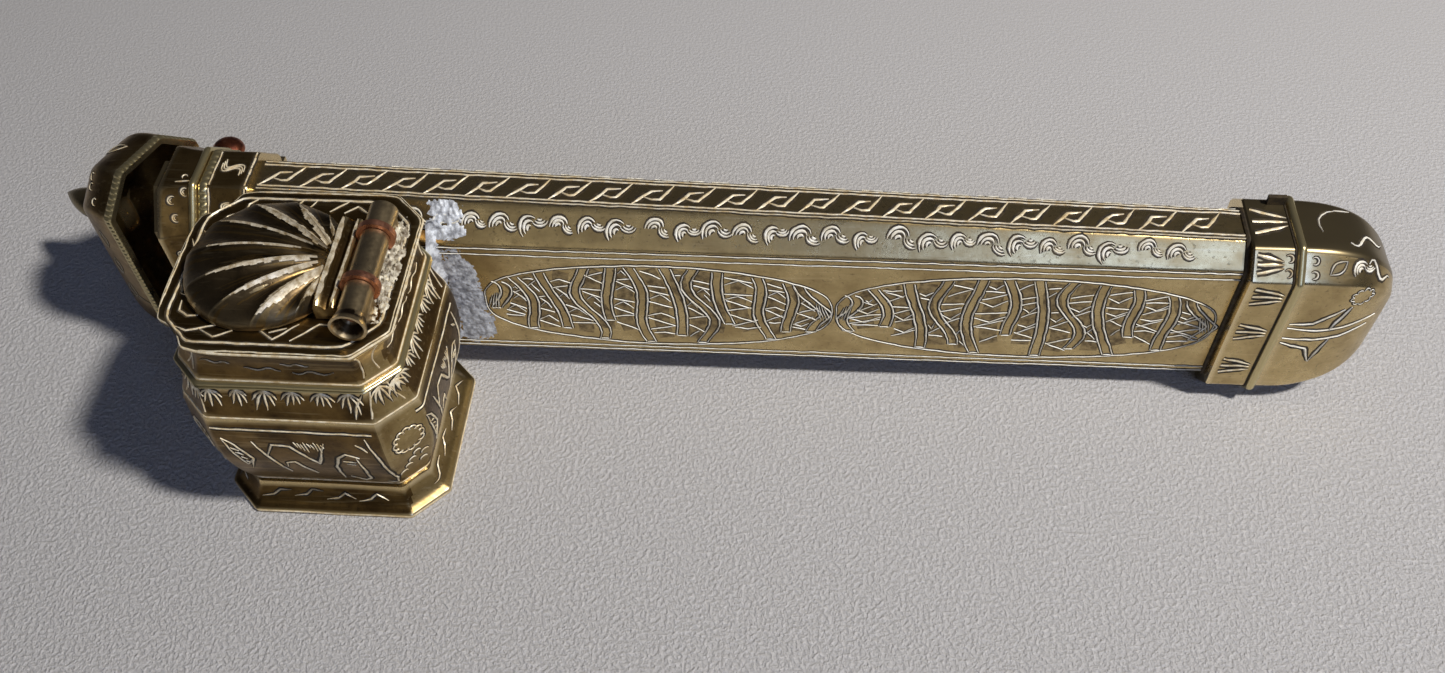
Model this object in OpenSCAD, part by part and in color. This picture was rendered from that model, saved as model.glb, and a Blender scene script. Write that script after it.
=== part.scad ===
// Scribe's pen case in engraved sheet brass, with an inkwell soldered to its side.
// The inkwell stands with the middle of its foot on the origin. The case lies behind it along X,
// mouth towards -X, and both rest on the plane z = 0. The cap at the mouth stands part open.

/* [Pen case] */
// Length from the mouth rim to the far end of the butt collar
case_l = 220; // [170:1:270]
// Depth of the case at the mouth
mouth_d = 22; // [20:0.5:27]
// Height of the case at the mouth
mouth_h = 46; // [42:0.5:56]
// Corner cut of the case at the mouth
mouth_cut = 7; // [4:0.5:7.5]
// Depth of the case at the butt
butt_d = 16.5; // [13.5:0.5:20]
// Height of the case at the butt
butt_h = 40; // [33:0.5:46]
// Corner cut of the case at the butt
butt_cut = 4.3; // [3:0.1:5]
// Thickness of the sheet of the case
case_wall = 1.1; // [0.8:0.1:1.4]

/* [Mouth] */
// Length of the mouth collar
mouth_collar_l = 17.5; // [14:0.5:22]
// Thickness of the mouth collar on the sides
mouth_collar_t = 0.9; // [0.7:0.1:1.4]
// Thickness of both collars under and over the case
collar_lap = 0.9; // [0.6:0.1:1.4]
// Length of the flared lip of the mouth collar
lip_l = 6; // [5:0.5:7]
// How far the lip flares out on each side
lip_flare = 1.25; // [0.8:0.05:1.5]
// Radius of the bead behind the lip
mouth_bead_r = 0.8; // [0.5:0.05:0.9]
// Width of the roped band behind the bead
rope_w = 1.6; // [1.2:0.1:2]
// How far the neck stands out of the mouth
neck_out = 2.2; // [1:0.1:3]
// How far the neck reaches into the case
neck_in = 8; // [5:0.5:14]
// Thickness of the neck
neck_wall = 0.8; // [0.6:0.1:1]

/* [Butt] */
// Length of the butt collar
butt_collar_l = 9; // [6:0.5:14]
// Thickness of the butt collar on the sides
butt_collar_t = 3; // [1.5:0.1:3.5]
// Length of the domed butt cap
butt_cap_l = 23; // [16:0.5:30]
// Radius of the bead between the butt collar and its cap
butt_bead_r = 0.9; // [0.6:0.05:1.2]
// Height of the small tab on the butt collar
tab_h = 2; // [1:0.1:3]

/* [Cap] */
// Length of the cap from its rim to its dome's end
cap_l = 16.5; // [13:0.5:22]
// Thickness of the cap's sheet
cap_wall = 1.2; // [0.9:0.1:1.4]
// Gap between the shut cap and the mouth rim
cap_gap = 0.6; // [0.4:0.1:1]
// How far the cap stands inside the outline of the mouth rim
cap_inset = 0.4; // [0.2:0.1:0.6]
// Width of the roped rim of the cap
cap_rope_w = 1.8; // [1.2:0.1:2.4]
// How far the cap stands open
cap_open = 23; // [0:1:60]
// Length of the finial beyond the cap
finial_l = 18; // [12:0.5:22]
// Radius of the finial's bead
finial_r = 3.6; // [2.5:0.1:4.2]

/* [Cap hinge] */
// Radius of the hinge barrel
cap_barrel_r = 2.4; // [2:0.1:2.8]
// Radius of the hinge pin
cap_pin_r = 1.2; // [0.8:0.05:1.4]
// Distance of the hinge pin behind the mouth rim
cap_hinge_x = 4.5; // [3.5:0.1:5.5]
// Height of the hinge barrel's lower end
barrel_z = 8; // [6:0.5:12]
// Height of the whole hinge barrel
barrel_h = 29.5; // [20:0.5:31]
// Radius of the copper heads of the pin
pin_head_r = 3.4; // [2.8:0.1:3.8]

/* [Inkwell] */
// Width of the inkwell's plate along the case
well_w = 43; // [38:0.5:52]
// Depth of the inkwell's plate
well_d = 39; // [36:0.5:47]
// Height of the inkwell
well_h = 51.6; // [50:0.1:62]
// Corner cut of the inkwell's plate
well_cut = 6; // [4.5:0.1:8]
// Thickness of the inkwell's sheet
well_wall = 1.1; // [0.8:0.1:1.5]
// How far the inkwell's outline would reach into the case's front
well_lap = 1.75; // [1:0.05:3]
// Distance from the inkwell's plate to the mouth rim along the case
mouth_gap = 12.5; // [12:0.5:30]
// Height of the foot
foot_h = 6.2; // [4:0.1:8]
// Height of the dark groove over the foot
groove_h = 1.6; // [1:0.1:2.5]
// Height of the upper band's lower edge
belly_top = 32.9; // [28:0.1:35]
// Height of the upper band's upper edge
band_top = 40; // [38:0.1:42]
// Thickness of the plate
plate_t = 1.1; // [0.9:0.1:1.6]
// Height of the bead under the rim
well_bead_h = 1.6; // [1:0.1:2]

/* [Ink cup] */
// Inner radius of the ink cup
cup_r = 8; // [6:0.1:9.5]
// Depth of the ink cup
cup_depth = 34; // [20:0.5:40]
// Thickness of the ink cup
cup_wall = 0.8; // [0.6:0.1:1.2]
// Height of the raised ring round the ink mouth
ring_h = 1.4; // [0.8:0.1:2]
// Width of the raised ring round the ink mouth
ring_w = 1.4; // [1:0.1:2]

/* [Shell lid] */
// Radius of the shell's outline
shell_r = 14.8; // [13:0.1:15.5]
// Height of the shell's dome
shell_h = 6; // [4:0.1:8]
// Thickness of the shell
shell_wall = 1.1; // [0.8:0.1:1.4]
// Height of the shell's upright edge
shell_edge = 0.8; // [0.5:0.1:1.5]
// Depth of the flutes
flute = 0.9; // [0.3:0.05:1.2]
// Number of flutes
flutes = 9; // [7:1:11]
// Gap between the shut lid and the plate
lid_gap = 0.3; // [0.2:0.05:0.5]
// Length of the bar across the lid
bar_l = 21; // [16:0.5:24]
// Width of the bar
bar_w = 2.6; // [2:0.1:3]

/* [Lid hinge] */
// Height of the hinge pin above the plate
lid_pin_up = 4.2; // [3.8:0.1:5]
// Radius of the hinge barrel
lid_barrel_r = 2.6; // [2.2:0.1:3]
// Radius of the hinge pin
lid_pin_r = 1.2; // [0.8:0.05:1.4]
// Length of the lid's own knuckle
lid_knuckle_l = 10.4; // [8:0.1:12]
// Thickness of a copper washer
washer_t = 1.3; // [0.8:0.1:1.6]
// Radius of a copper washer
washer_r = 3.5; // [3:0.1:3.8]
// Length of the far knuckle
far_knuckle_l = 5.4; // [4:0.1:6]
// Length of the flared near knuckle
near_knuckle_l = 8.8; // [6:0.1:9]

/* [Hidden] */
$fn = 64;

// Clearances and other small values
fit = 0.05;          // radial play of a pin in the piece that turns on it
seat = 0.02;         // radial play of a pin in the piece that holds it
side_play = 0.15;    // gap between neighbouring knuckles
joint_gap = 0.1;     // gap between the inkwell's wall and the case, which the solder bridges
past = 0.5;          // how far a cutter runs past the face that it opens
bevel = 0.3;         // edge break of the plate
cut_rate = 2 - sqrt(2);
rope_proud = 0.35;   // how far the roped band stands out
base_t = 1;          // thickness of the plate that closes the foot

// Colours
brass = "#8f7a3c";
dark_brass = "#5d4f2b";
bright_brass = "#c0a862";
copper = "#8c4a2c";
solder = "#a3a39b";

// Places along the height of the inkwell
groove_top = foot_h + groove_h;
bead_top = band_top + well_bead_h;
plate_z = well_h - plate_t;

// Offsets from the plate's outline
foot_out = 1;
waist_in = 2.5;
band_out = 0.75;
bead_in = 0.3;
rim_in = 1.25;
belly_bulge = 2.2;
belly_steps = 8;

// Places of the lid's pieces
cup_x = -3;
fan_x = 10;
shell_x = -4;
fan_span = 74;
bar_x = 7.8;
lid_axis_x = 15.5;
lid_axis_z = well_h + lid_pin_up;
knuckle_y = -0.8;
lid_z = well_h + lid_gap;

// Place of the case behind the inkwell
case_y = (well_d + mouth_d) / 2 - well_lap;
mouth_reach = well_w / 2 + mouth_gap;

// Places along the mouth collar, from the mouth rim
rope_x = lip_l + 2 * mouth_bead_r + 0.4;
rope_end = rope_x + rope_w;

// Hinge of the cap, in the case's own frame
lip_d = mouth_d + 2 * (mouth_collar_t + lip_flare);
cap_hinge_y = lip_d / 2 + cap_barrel_r + 0.05;
knuckle_h = (barrel_h - 2 * side_play) / 3;
leaf_t = 1.4;
lip_h = mouth_h + 2 * collar_lap;

// Outline of a rectangle with cut corners, counter-clockwise
function octagon(a, b, c) = [
    [a / 2, c - b / 2], [a / 2, b / 2 - c], [a / 2 - c, b / 2], [c - a / 2, b / 2],
    [-a / 2, b / 2 - c], [-a / 2, c - b / 2], [c - a / 2, -b / 2], [a / 2 - c, -b / 2]];

// Ring of an outline that stands across X at x, its middle at height zc
function ring_x(x, d, h, c, zc) = [for (p = octagon(d, h, c)) [x, p[0], zc + p[1]]];

// Ring of the inkwell's outline, moved outwards by out, at height z
function ring_z(z, out) = [for (p = octagon(well_w + 2 * out, well_d + 2 * out, well_cut + cut_rate * out))
    [p[0], p[1], z]];

function mix(a, b, t) = a + (b - a) * t;

// Ring of the case's own outline at x, moved outwards by out
function tube_ring(x, out) =
    let (t = x / case_l, h = mix(mouth_h, butt_h, t))
    ring_x(x, mix(mouth_d, butt_d, t) + 2 * out, h + 2 * out, mix(mouth_cut, butt_cut, t) + cut_rate * out,
        collar_lap + h / 2);

// Ring of the mouth collar's outline, wider by flare on each side and moved outwards by out
function mouth_ring(x, flare, out) = ring_x(x, mouth_d + 2 * (mouth_collar_t + flare + out), lip_h + 2 * out,
    mouth_cut + cut_rate * out, lip_h / 2);

// Ring of the butt collar's outline, moved outwards by out and scaled by k about its own middle
function butt_ring(x, out, k) = ring_x(x, k * (butt_d + 2 * butt_collar_t) + 2 * out,
    k * (butt_h + 2 * collar_lap) + 2 * out, k * (butt_cut + cut_rate * collar_lap) + cut_rate * out,
    butt_h / 2 + collar_lap);

// Ring of the cap's outline, moved outwards by out and scaled by k about its own middle
function cap_ring(x, out, k) = ring_x(x, k * (lip_d - 2 * cap_inset) + 2 * out,
    k * (lip_h - 2 * cap_inset) + 2 * out, k * mouth_cut + cut_rate * out, lip_h / 2);

// Width of a dome at the share t of its length, as a share of its width at the rim
function dome(t) = pow(1 - pow(t, 2.5), 0.4);
dome_steps = [0, 0.15, 0.3, 0.45, 0.6, 0.72, 0.82, 0.9, 0.96];

// Solid through a list of rings that all have the same number of points
module loft(rings) {
    n = len(rings[0]);
    m = len(rings);
    sides = [for (j = [0 : m - 2], i = [0 : n - 1])
        [j * n + i, (j + 1) * n + i, (j + 1) * n + (i + 1) % n, j * n + (i + 1) % n]];
    first = [for (i = [0 : n - 1]) i];
    last = [for (i = [n - 1 : -1 : 0]) (m - 1) * n + i];
    polyhedron([for (r = rings) each r], concat(sides, [first, last]), convexity = 8);
}

// Moves a piece from the case's own frame to its place behind the inkwell
module on_case() {
    translate([-mouth_reach, case_y, 0]) children();
}

// Turns a piece of the cap about the cap's hinge
module cap_turned() {
    translate([cap_hinge_x, cap_hinge_y, 0])
        rotate([0, 0, -cap_open])
            translate([-cap_hinge_x, -cap_hinge_y, 0])
                children();
}

// The case's outside between two places, moved outwards by out
module tube_solid(from, to, out) {
    loft([tube_ring(from, out), tube_ring(to, out)]);
}

// The mouth collar's outside, moved outwards by out
module collar_solid(out) {
    loft([mouth_ring(-out, lip_flare, out), mouth_ring(lip_l / 2, lip_flare * 0.4, out),
        mouth_ring(lip_l, 0, out), mouth_ring(mouth_collar_l + out, 0, out)]);
}

// ---------- pen case ----------

module pen_tube() {
    color(brass) on_case() difference() {
        tube_solid(0, case_l, 0);
        tube_solid(-past, case_l + past, -case_wall);
    }
}

module mouth_collar() {
    color(brass) on_case() difference() {
        collar_solid(0);
        tube_solid(-past, mouth_collar_l + past, 0);
    }
}

// Cuts a piece off flat at the plane that the case rests on
module worn_flat() {
    difference() {
        children();
        translate([-case_l, -mouth_h, -mouth_h]) cube([3 * case_l, 2 * mouth_h, mouth_h]);
    }
}

// Half-round bead that runs round a collar, its middle at x
module collar_bead(x, r, ring_points) {
    steps = 6;
    worn_flat() difference() {
        loft([for (s = [0 : steps]) ring_points(x - r * cos(180 * s / steps), r * sin(180 * s / steps))]);
        loft([ring_points(x - 2 * r, 0), ring_points(x + 2 * r, 0)]);
    }
}

module mouth_bead() {
    around = function (x, out) mouth_ring(x, 0, out);
    color(bright_brass) on_case() difference() {
        collar_bead(lip_l + mouth_bead_r, mouth_bead_r, around);
        hinge_notch();
    }
}

// Room for the leaf of the cap's hinge at the back of the mouth collar
module hinge_notch() {
    translate([0, mouth_d / 2 + mouth_collar_t, barrel_z - past])
        cube([mouth_collar_l, cap_barrel_r, barrel_h + 2 * past]);
}

module mouth_rope_band() {
    color(brass) on_case() worn_flat() difference() {
        loft([mouth_ring(rope_x, 0, rope_proud), mouth_ring(rope_end, 0, rope_proud)]);
        loft([mouth_ring(rope_x - past, 0, 0), mouth_ring(rope_end + past, 0, 0)]);
        hinge_notch();
    }
}

module mouth_neck() {
    color(dark_brass) on_case() difference() {
        tube_solid(-neck_out, neck_in, -case_wall);
        tube_solid(-neck_out - past, neck_in + past, -case_wall - neck_wall);
    }
}

// ---------- butt end ----------

module butt_collar() {
    from = case_l - butt_collar_l;
    color(brass) on_case() difference() {
        loft([butt_ring(from, 0, 1), butt_ring(case_l, 0, 1)]);
        tube_solid(from - past, case_l + past, 0);
    }
}

module butt_bead() {
    around = function (x, out) butt_ring(x, out, 1);
    color(bright_brass) on_case() collar_bead(case_l, butt_bead_r, around);
}

module butt_cap() {
    color(brass) on_case() difference() {
        loft([for (t = dome_steps) butt_ring(case_l + butt_cap_l * t, 0, dome(t))]);
        loft([for (t = dome_steps) butt_ring(case_l - past * (t == 0 ? 1 : 0) + (butt_cap_l - case_wall) * t,
            -case_wall, dome(t))]);
    }
}

module butt_tab() {
    tab = [butt_collar_l / 2 - butt_bead_r - side_play, 0.9, tab_h];
    top = butt_h + 2 * collar_lap;
    color(dark_brass) on_case()
        translate([case_l - butt_collar_l / 2, butt_d / 2 + butt_collar_t - butt_cut - 2, top]) cube(tab);
}

// ---------- hinge of the cap ----------

// Piece of the hinge barrel that starts at height z
module cap_barrel(z, h, play) {
    translate([cap_hinge_x, cap_hinge_y, z]) difference() {
        union() {
            cylinder(r = cap_barrel_r, h = h);
            children();
        }
        translate([0, 0, -past]) cylinder(r = cap_pin_r + play, h = h + 2 * past);
    }
}

module case_hinge_leaf() {
    face = mouth_d / 2 + mouth_collar_t;
    leaf_x = rope_end + 0.4;
    bridge_y = face + mouth_bead_r + 0.3;
    color(brass) on_case() {
        for (z = [barrel_z, barrel_z + 2 * (knuckle_h + side_play)])
            cap_barrel(z, knuckle_h, seat)
                translate([0, bridge_y - cap_hinge_y, 0]) cube([leaf_x + 1 - cap_hinge_x, leaf_t, knuckle_h]);
        translate([leaf_x, face, barrel_z]) cube([mouth_collar_l - leaf_x - 0.5, bridge_y + leaf_t - face, barrel_h]);
    }
}

module cap_hinge_pin() {
    color(copper) on_case()
        translate([cap_hinge_x, cap_hinge_y, barrel_z - 1]) cylinder(r = cap_pin_r, h = barrel_h + 2);
}

module cap_pin_heads() {
    head_h = pin_head_r * 0.75;
    color(copper) on_case() for (up = [0, 1])
        translate([cap_hinge_x, cap_hinge_y, barrel_z + up * barrel_h]) mirror([0, 0, 1 - up])
            rotate_extrude() difference() {
                intersection() {
                    scale([1, 0.75]) circle(r = pin_head_r);
                    square([pin_head_r, head_h]);
                }
                square([cap_pin_r + seat, 1]);
            }
}

// ---------- cap ----------

module cap_shell() {
    color(brass) on_case() cap_turned() difference() {
        loft([for (i = [len(dome_steps) - 1 : -1 : 0])
            cap_ring(-cap_gap - cap_l * dome_steps[i], 0, dome(dome_steps[i]))]);
        loft([for (i = [len(dome_steps) - 1 : -1 : 0])
            cap_ring(-cap_gap + (i == 0 ? past : 0) - (cap_l - cap_wall) * dome_steps[i], -cap_wall,
                dome(dome_steps[i]))]);
    }
}

module cap_rope_rim() {
    color(bright_brass) on_case() cap_turned() difference() {
        loft([cap_ring(-cap_gap - cap_rope_w, cap_inset, 1), cap_ring(-cap_gap, cap_inset, 1)]);
        loft([cap_ring(-cap_gap - cap_rope_w - past, 0, 1), cap_ring(-cap_gap + past, 0, 1)]);
        translate([-cap_l, lip_d / 2 - cap_inset, barrel_z - past])
            cube([2 * cap_l, cap_barrel_r, barrel_h + 2 * past]);
    }
}

module cap_hinge_knuckle() {
    face = lip_d / 2 - cap_inset;
    z = barrel_z + knuckle_h + side_play;
    bridge_y = lip_d / 2 + 0.25;
    strap_l = cap_l * 0.3;
    color(brass) on_case() cap_turned() {
        cap_barrel(z, knuckle_h, fit)
            translate([-cap_hinge_x - cap_gap - 1, bridge_y - cap_hinge_y, 0])
                cube([cap_hinge_x + cap_gap + 1, 1, knuckle_h]);
        difference() {
            translate([-cap_gap - strap_l, face - 1, z]) cube([strap_l, bridge_y + 1 - face + 1, knuckle_h]);
            loft([for (i = [len(dome_steps) - 1 : -1 : 0])
                cap_ring(-cap_gap + (i == 0 ? past : 0) - cap_l * dome_steps[i], 0, dome(dome_steps[i]))]);
        }
    }
}

// Turns a profile that runs along the finial's axis into a solid at the end of the cap
module on_finial(from) {
    on_case() cap_turned()
        translate([-cap_gap - cap_l * 0.96 - from, 0, lip_h / 2 - 1.5]) rotate([0, -90, 0]) children();
}

module finial_bead() {
    color(dark_brass) on_finial(0) rotate_extrude() intersection() {
        union() {
            translate([0, finial_r * 0.75]) scale([1, 0.75]) circle(r = finial_r);
            square([finial_r * 0.7, finial_r]);
            // The neck reaches the bud
            square([finial_r * 0.45, finial_l * 0.35]);
        }
        square([finial_r, finial_l * 0.35]);
    }
}

module finial_bud() {
    l = finial_l * 0.65;
    r = finial_r * 1.25;
    color(dark_brass) on_finial(finial_l * 0.35) rotate_extrude()
        polygon([[0, 0], for (s = [0 : 12]) let (t = s / 12)
            [r * (0.45 + 0.75 * t - 1.2 * pow(t, 1.8)) * (s == 12 ? 0 : 1) / 0.72, l * t]]);
}

// ---------- inkwell ----------

// Everything that the inkwell's wall keeps clear of, moved outwards by out
module case_relief(out) {
    on_case() {
        tube_solid(-past, 2 * mouth_reach + well_w, out);
        collar_solid(out);
    }
}

// Ring of sheet with the outside profile given as [height, offset], set against the case
module well_shell(profile) {
    last = len(profile) - 1;
    inner = concat([[profile[0][0] - past, profile[0][1]]], profile, [[profile[last][0] + past, profile[last][1]]]);
    difference() {
        loft([for (p = profile) ring_z(p[0], p[1])]);
        case_relief(joint_gap);
        difference() {
            loft([for (p = inner) ring_z(p[0], p[1] - well_wall)]);
            case_relief(joint_gap + well_wall);
        }
    }
}

// Offset of the belly at the share t of its height
function belly_out(t) = mix(-waist_in, band_out, t) + belly_bulge * pow(sin(180 * t), 0.8);
belly_profile = [for (s = [0 : belly_steps]) let (t = s / belly_steps)
    [mix(groove_top, belly_top, t), belly_out(t)]];
foot_profile = [[0, foot_out], [1.3, foot_out], [2.2, foot_out - 1.4], [foot_h, -waist_in]];
groove_profile = [[foot_h, -waist_in - 0.6], [groove_top, -waist_in - 0.6]];
band_profile = [[belly_top, band_out], [mix(belly_top, band_top, 0.5), -0.4], [band_top, -rim_in]];
bead_profile = [for (s = [0 : 6]) [mix(band_top, bead_top, s / 6), -rim_in + (rim_in - bead_in) * sin(30 * s)]];
rim_profile = [[bead_top, -rim_in], [mix(bead_top, plate_z, 0.35), -rim_in - 0.4],
    [mix(bead_top, plate_z, 0.75), -rim_in], [plate_z, -bevel]];
plate_profile = [[plate_z, -bevel], [plate_z + bevel, 0], [well_h - bevel, 0], [well_h, -bevel]];

module well_foot() {
    color(brass) well_shell(foot_profile);
}

module well_base() {
    color(dark_brass) difference() {
        loft([ring_z(0, foot_out - well_wall), ring_z(base_t, foot_out - well_wall)]);
        case_relief(joint_gap + well_wall);
    }
}

module well_groove() {
    color(dark_brass) well_shell(groove_profile);
}

module well_belly() {
    color(brass) well_shell(belly_profile);
}

module well_band() {
    color(brass) well_shell(band_profile);
}

module well_bead() {
    color(bright_brass) well_shell(bead_profile);
}

module well_rim() {
    color(brass) well_shell(rim_profile);
}

module well_plate() {
    color(dark_brass) difference() {
        loft([for (p = plate_profile) ring_z(p[0], p[1])]);
        translate([cup_x, 0, plate_z - past]) cylinder(r = cup_r + cup_wall, h = plate_t + 2 * past);
    }
}

module ink_cup() {
    color(copper) translate([cup_x, 0, well_h - cup_depth]) difference() {
        cylinder(r = cup_r + cup_wall, h = cup_depth);
        translate([0, 0, cup_wall]) cylinder(r = cup_r, h = cup_depth);
    }
}

module ink_mouth_ring() {
    color(brass) translate([cup_x, 0, well_h]) difference() {
        cylinder(r = cup_r + ring_w, h = ring_h);
        translate([0, 0, -past]) cylinder(r = cup_r, h = ring_h + 2 * past);
    }
}

// Solder in the two corners between the inkwell's walls and the case's front, and in the gap over the foot
module solder_seam() {
    reach = 4.5;
    depth = 3.2;
    bed_h = 4;
    front = case_y - mouth_d / 2;
    all_profile = concat(foot_profile, belly_profile, band_profile, bead_profile, rim_profile);
    bottom = collar_lap + mouth_cut;
    top = collar_lap + mouth_h - mouth_cut;
    color(solder) difference() {
        union() {
            for (side = [-1, 1]) {
                edge = side * (well_w / 2 - well_cut * 0.4);
                translate([0, 0, bottom]) linear_extrude(top - bottom)
                    polygon([[edge, front + 2], [edge, front - depth], [edge + side * reach, front + 2]]);
            }
            translate([-well_w / 2 + well_cut, front - joint_gap, bottom + 0.5])
                cube([well_w - 2 * well_cut, 2, bed_h]);
        }
        loft([for (p = all_profile) ring_z(p[0], p[1])]);
        case_relief(0);
        on_case() translate([-past, -lip_d, 0]) cube([rope_end + past, 2 * lip_d, lip_h]);
    }
}

// ---------- hinge and lid of the inkwell ----------

// Places a piece along the lid's hinge, its length running towards -Y from y
module on_lid_axis(y) {
    translate([lid_axis_x, y, lid_axis_z]) rotate([90, 0, 0]) children();
}

far_y = knuckle_y + lid_knuckle_l / 2 + washer_t + 2 * side_play + far_knuckle_l;
near_y = knuckle_y - lid_knuckle_l / 2 - washer_t - 2 * side_play;

module plate_knuckles() {
    flare_l = 2.5;
    stand = lid_barrel_r * 1.5;
    color(brass) difference() {
        union() {
            on_lid_axis(far_y) cylinder(r = lid_barrel_r, h = far_knuckle_l);
            on_lid_axis(near_y) cylinder(r = lid_barrel_r, h = near_knuckle_l);
            on_lid_axis(near_y - near_knuckle_l + flare_l) cylinder(r1 = lid_barrel_r, r2 = lid_barrel_r + 0.7, h = flare_l);
            translate([lid_axis_x - stand / 2, far_y - far_knuckle_l, well_h]) cube([stand, far_knuckle_l, lid_pin_up]);
            translate([lid_axis_x - stand / 2, near_y - near_knuckle_l + flare_l, well_h])
                cube([stand, near_knuckle_l - flare_l, lid_pin_up]);
        }
        on_lid_axis(far_y + past) cylinder(r = lid_pin_r + seat, h = far_y - near_y + near_knuckle_l + 2 * past);
        on_lid_axis(near_y - near_knuckle_l + flare_l)
            cylinder(r1 = lid_pin_r + seat, r2 = lid_barrel_r + 0.2, h = flare_l + 0.01);
    }
}

module lid_hinge_pin() {
    color(copper) on_lid_axis(far_y - 0.2) cylinder(r = lid_pin_r, h = far_y - near_y + near_knuckle_l - 3);
}

module lid_washers() {
    color(copper) for (y = [knuckle_y + lid_knuckle_l / 2 + side_play + washer_t, near_y + washer_t + side_play])
        on_lid_axis(y) difference() {
            cylinder(r = washer_r, h = washer_t);
            translate([0, 0, -past]) cylinder(r = lid_pin_r + seat, h = washer_t + 2 * past);
        }
}

module lid_knuckle() {
    strap_z = lid_pin_up - lid_barrel_r + 0.3;
    color(brass) difference() {
        union() {
            on_lid_axis(knuckle_y + lid_knuckle_l / 2) cylinder(r = lid_barrel_r, h = lid_knuckle_l);
            translate([bar_x + bar_w, knuckle_y - lid_knuckle_l / 2, well_h + strap_z])
                cube([lid_axis_x - bar_x - bar_w, lid_knuckle_l, 1.3]);
        }
        on_lid_axis(knuckle_y + lid_knuckle_l / 2 + past)
            cylinder(r = lid_pin_r + fit, h = lid_knuckle_l + 2 * past);
    }
}

module lid_bar() {
    color(bright_brass) translate([bar_x, knuckle_y - bar_l / 2, lid_z]) difference() {
        cube([bar_w, bar_l, 4.4]);
        for (x = [bar_w / 3, 2 * bar_w / 3])
            translate([x - 0.2, -past, 4]) cube([0.4, bar_l + 2 * past, 1]);
    }
}

// Distance from the fan's root to the shell's edge at the angle a
function fan_reach(a) = (fan_x - shell_x) * cos(a) + sqrt(pow(shell_r, 2) - pow((fan_x - shell_x) * sin(a), 2));

// Share of that distance at which the bar cuts the fan off
function fan_start(a) = (fan_x - bar_x) / (cos(a) * fan_reach(a));

// Point on top of the fluted dome at the angle a, the share t of the way out
function fan_point(a, t) =
    let (reach = t * fan_reach(a), x = fan_x - reach * cos(a), y = reach * sin(a),
        rise = sqrt(max(0, 1 - (pow(x - shell_x, 2) + y * y) / pow(shell_r, 2))),
        groove = abs(cos(90 * flutes * (a / fan_span + 1))) * sqrt(max(0, 1 - t * t)))
    [x, y, shell_edge + shell_h * rise - flute * groove];

// Top surface of the shell, one row for each share of the way out, and a last row down at its edge
fan_angles = [for (i = [0 : 4 * flutes]) fan_span * (i / (2 * flutes) - 1)];
fan_rows = concat(
    [for (s = [0 : 8]) [for (a = fan_angles) fan_point(a, mix(fan_start(a), 1, sin(90 * s / 8)))]],
    [[for (a = fan_angles) let (p = fan_point(a, 1)) [p[0], p[1], 0]]]);

// Point of the underside below the point p of the top
function fan_under(p) =
    let (k = 1 - shell_wall / shell_r, kz = 1 - shell_wall / (shell_h + shell_edge))
    [shell_x + k * (p[0] - shell_x), k * p[1], kz * p[2]];

module shell_lid() {
    n = len(fan_angles);
    m = len(fan_rows);
    k = n * m;
    top = [for (row = fan_rows) each row];
    cells = [for (j = [0 : m - 2], i = [0 : n - 2]) [j * n + i, (j + 1) * n + i, (j + 1) * n + i + 1, j * n + i + 1]];
    rim = concat([for (i = [0 : n - 1]) (m - 1) * n + i], [for (j = [m - 2 : -1 : 1]) j * n + n - 1],
        [for (i = [n - 1 : -1 : 0]) i], [for (j = [1 : m - 2]) j * n]);
    wall = [for (i = [0 : len(rim) - 1]) let (p = rim[i], q = rim[(i + 1) % len(rim)]) [p, k + p, k + q, q]];
    under = [for (c = cells) [k + c[3], k + c[2], k + c[1], k + c[0]]];
    faces = [for (c = concat(cells, wall, under)) each [[c[0], c[1], c[2]], [c[0], c[2], c[3]]]];
    color(brass) translate([0, 0, lid_z])
        polyhedron(concat(top, [for (p = top) fan_under(p)]), faces, convexity = 6);
}

pen_tube();
mouth_collar();
mouth_bead();
mouth_rope_band();
mouth_neck();
butt_collar();
butt_bead();
butt_cap();
butt_tab();
case_hinge_leaf();
cap_hinge_pin();
cap_pin_heads();
cap_shell();
cap_rope_rim();
cap_hinge_knuckle();
finial_bead();
finial_bud();
well_foot();
well_base();
well_groove();
well_belly();
well_band();
well_bead();
well_rim();
well_plate();
ink_cup();
ink_mouth_ring();
solder_seam();
plate_knuckles();
lid_hinge_pin();
lid_washers();
shell_lid();
lid_bar();
lid_knuckle();
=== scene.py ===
"""Looks of an engraved brass pen case with an inkwell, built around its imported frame."""

import logging
import math
from dataclasses import dataclass, field
from enum import Enum
from typing import Callable, ClassVar

import bmesh
import bpy
from mathutils import Matrix, Vector, noise
from mathutils.bvhtree import BVHTree


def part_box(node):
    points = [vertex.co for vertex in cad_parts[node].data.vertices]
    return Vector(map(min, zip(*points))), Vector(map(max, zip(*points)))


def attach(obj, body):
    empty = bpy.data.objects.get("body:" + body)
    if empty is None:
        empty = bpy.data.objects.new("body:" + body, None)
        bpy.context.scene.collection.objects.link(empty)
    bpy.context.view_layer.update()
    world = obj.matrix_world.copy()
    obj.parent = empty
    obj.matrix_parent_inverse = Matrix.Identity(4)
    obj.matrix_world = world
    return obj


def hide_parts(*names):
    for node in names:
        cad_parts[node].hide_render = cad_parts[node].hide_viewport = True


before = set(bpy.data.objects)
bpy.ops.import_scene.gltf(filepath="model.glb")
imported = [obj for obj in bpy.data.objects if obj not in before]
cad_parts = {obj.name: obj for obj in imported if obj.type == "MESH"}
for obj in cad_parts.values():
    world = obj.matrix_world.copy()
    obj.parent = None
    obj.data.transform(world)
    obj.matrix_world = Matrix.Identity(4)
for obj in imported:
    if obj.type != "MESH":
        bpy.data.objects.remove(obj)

LOG = logging.getLogger("pen_case")
MM = 0.001

Ring = list[Vector]
Flat = tuple[float, float]
Colour = tuple[float, float, float]


# ---------------------------------------------------------------- shader recipes


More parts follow.
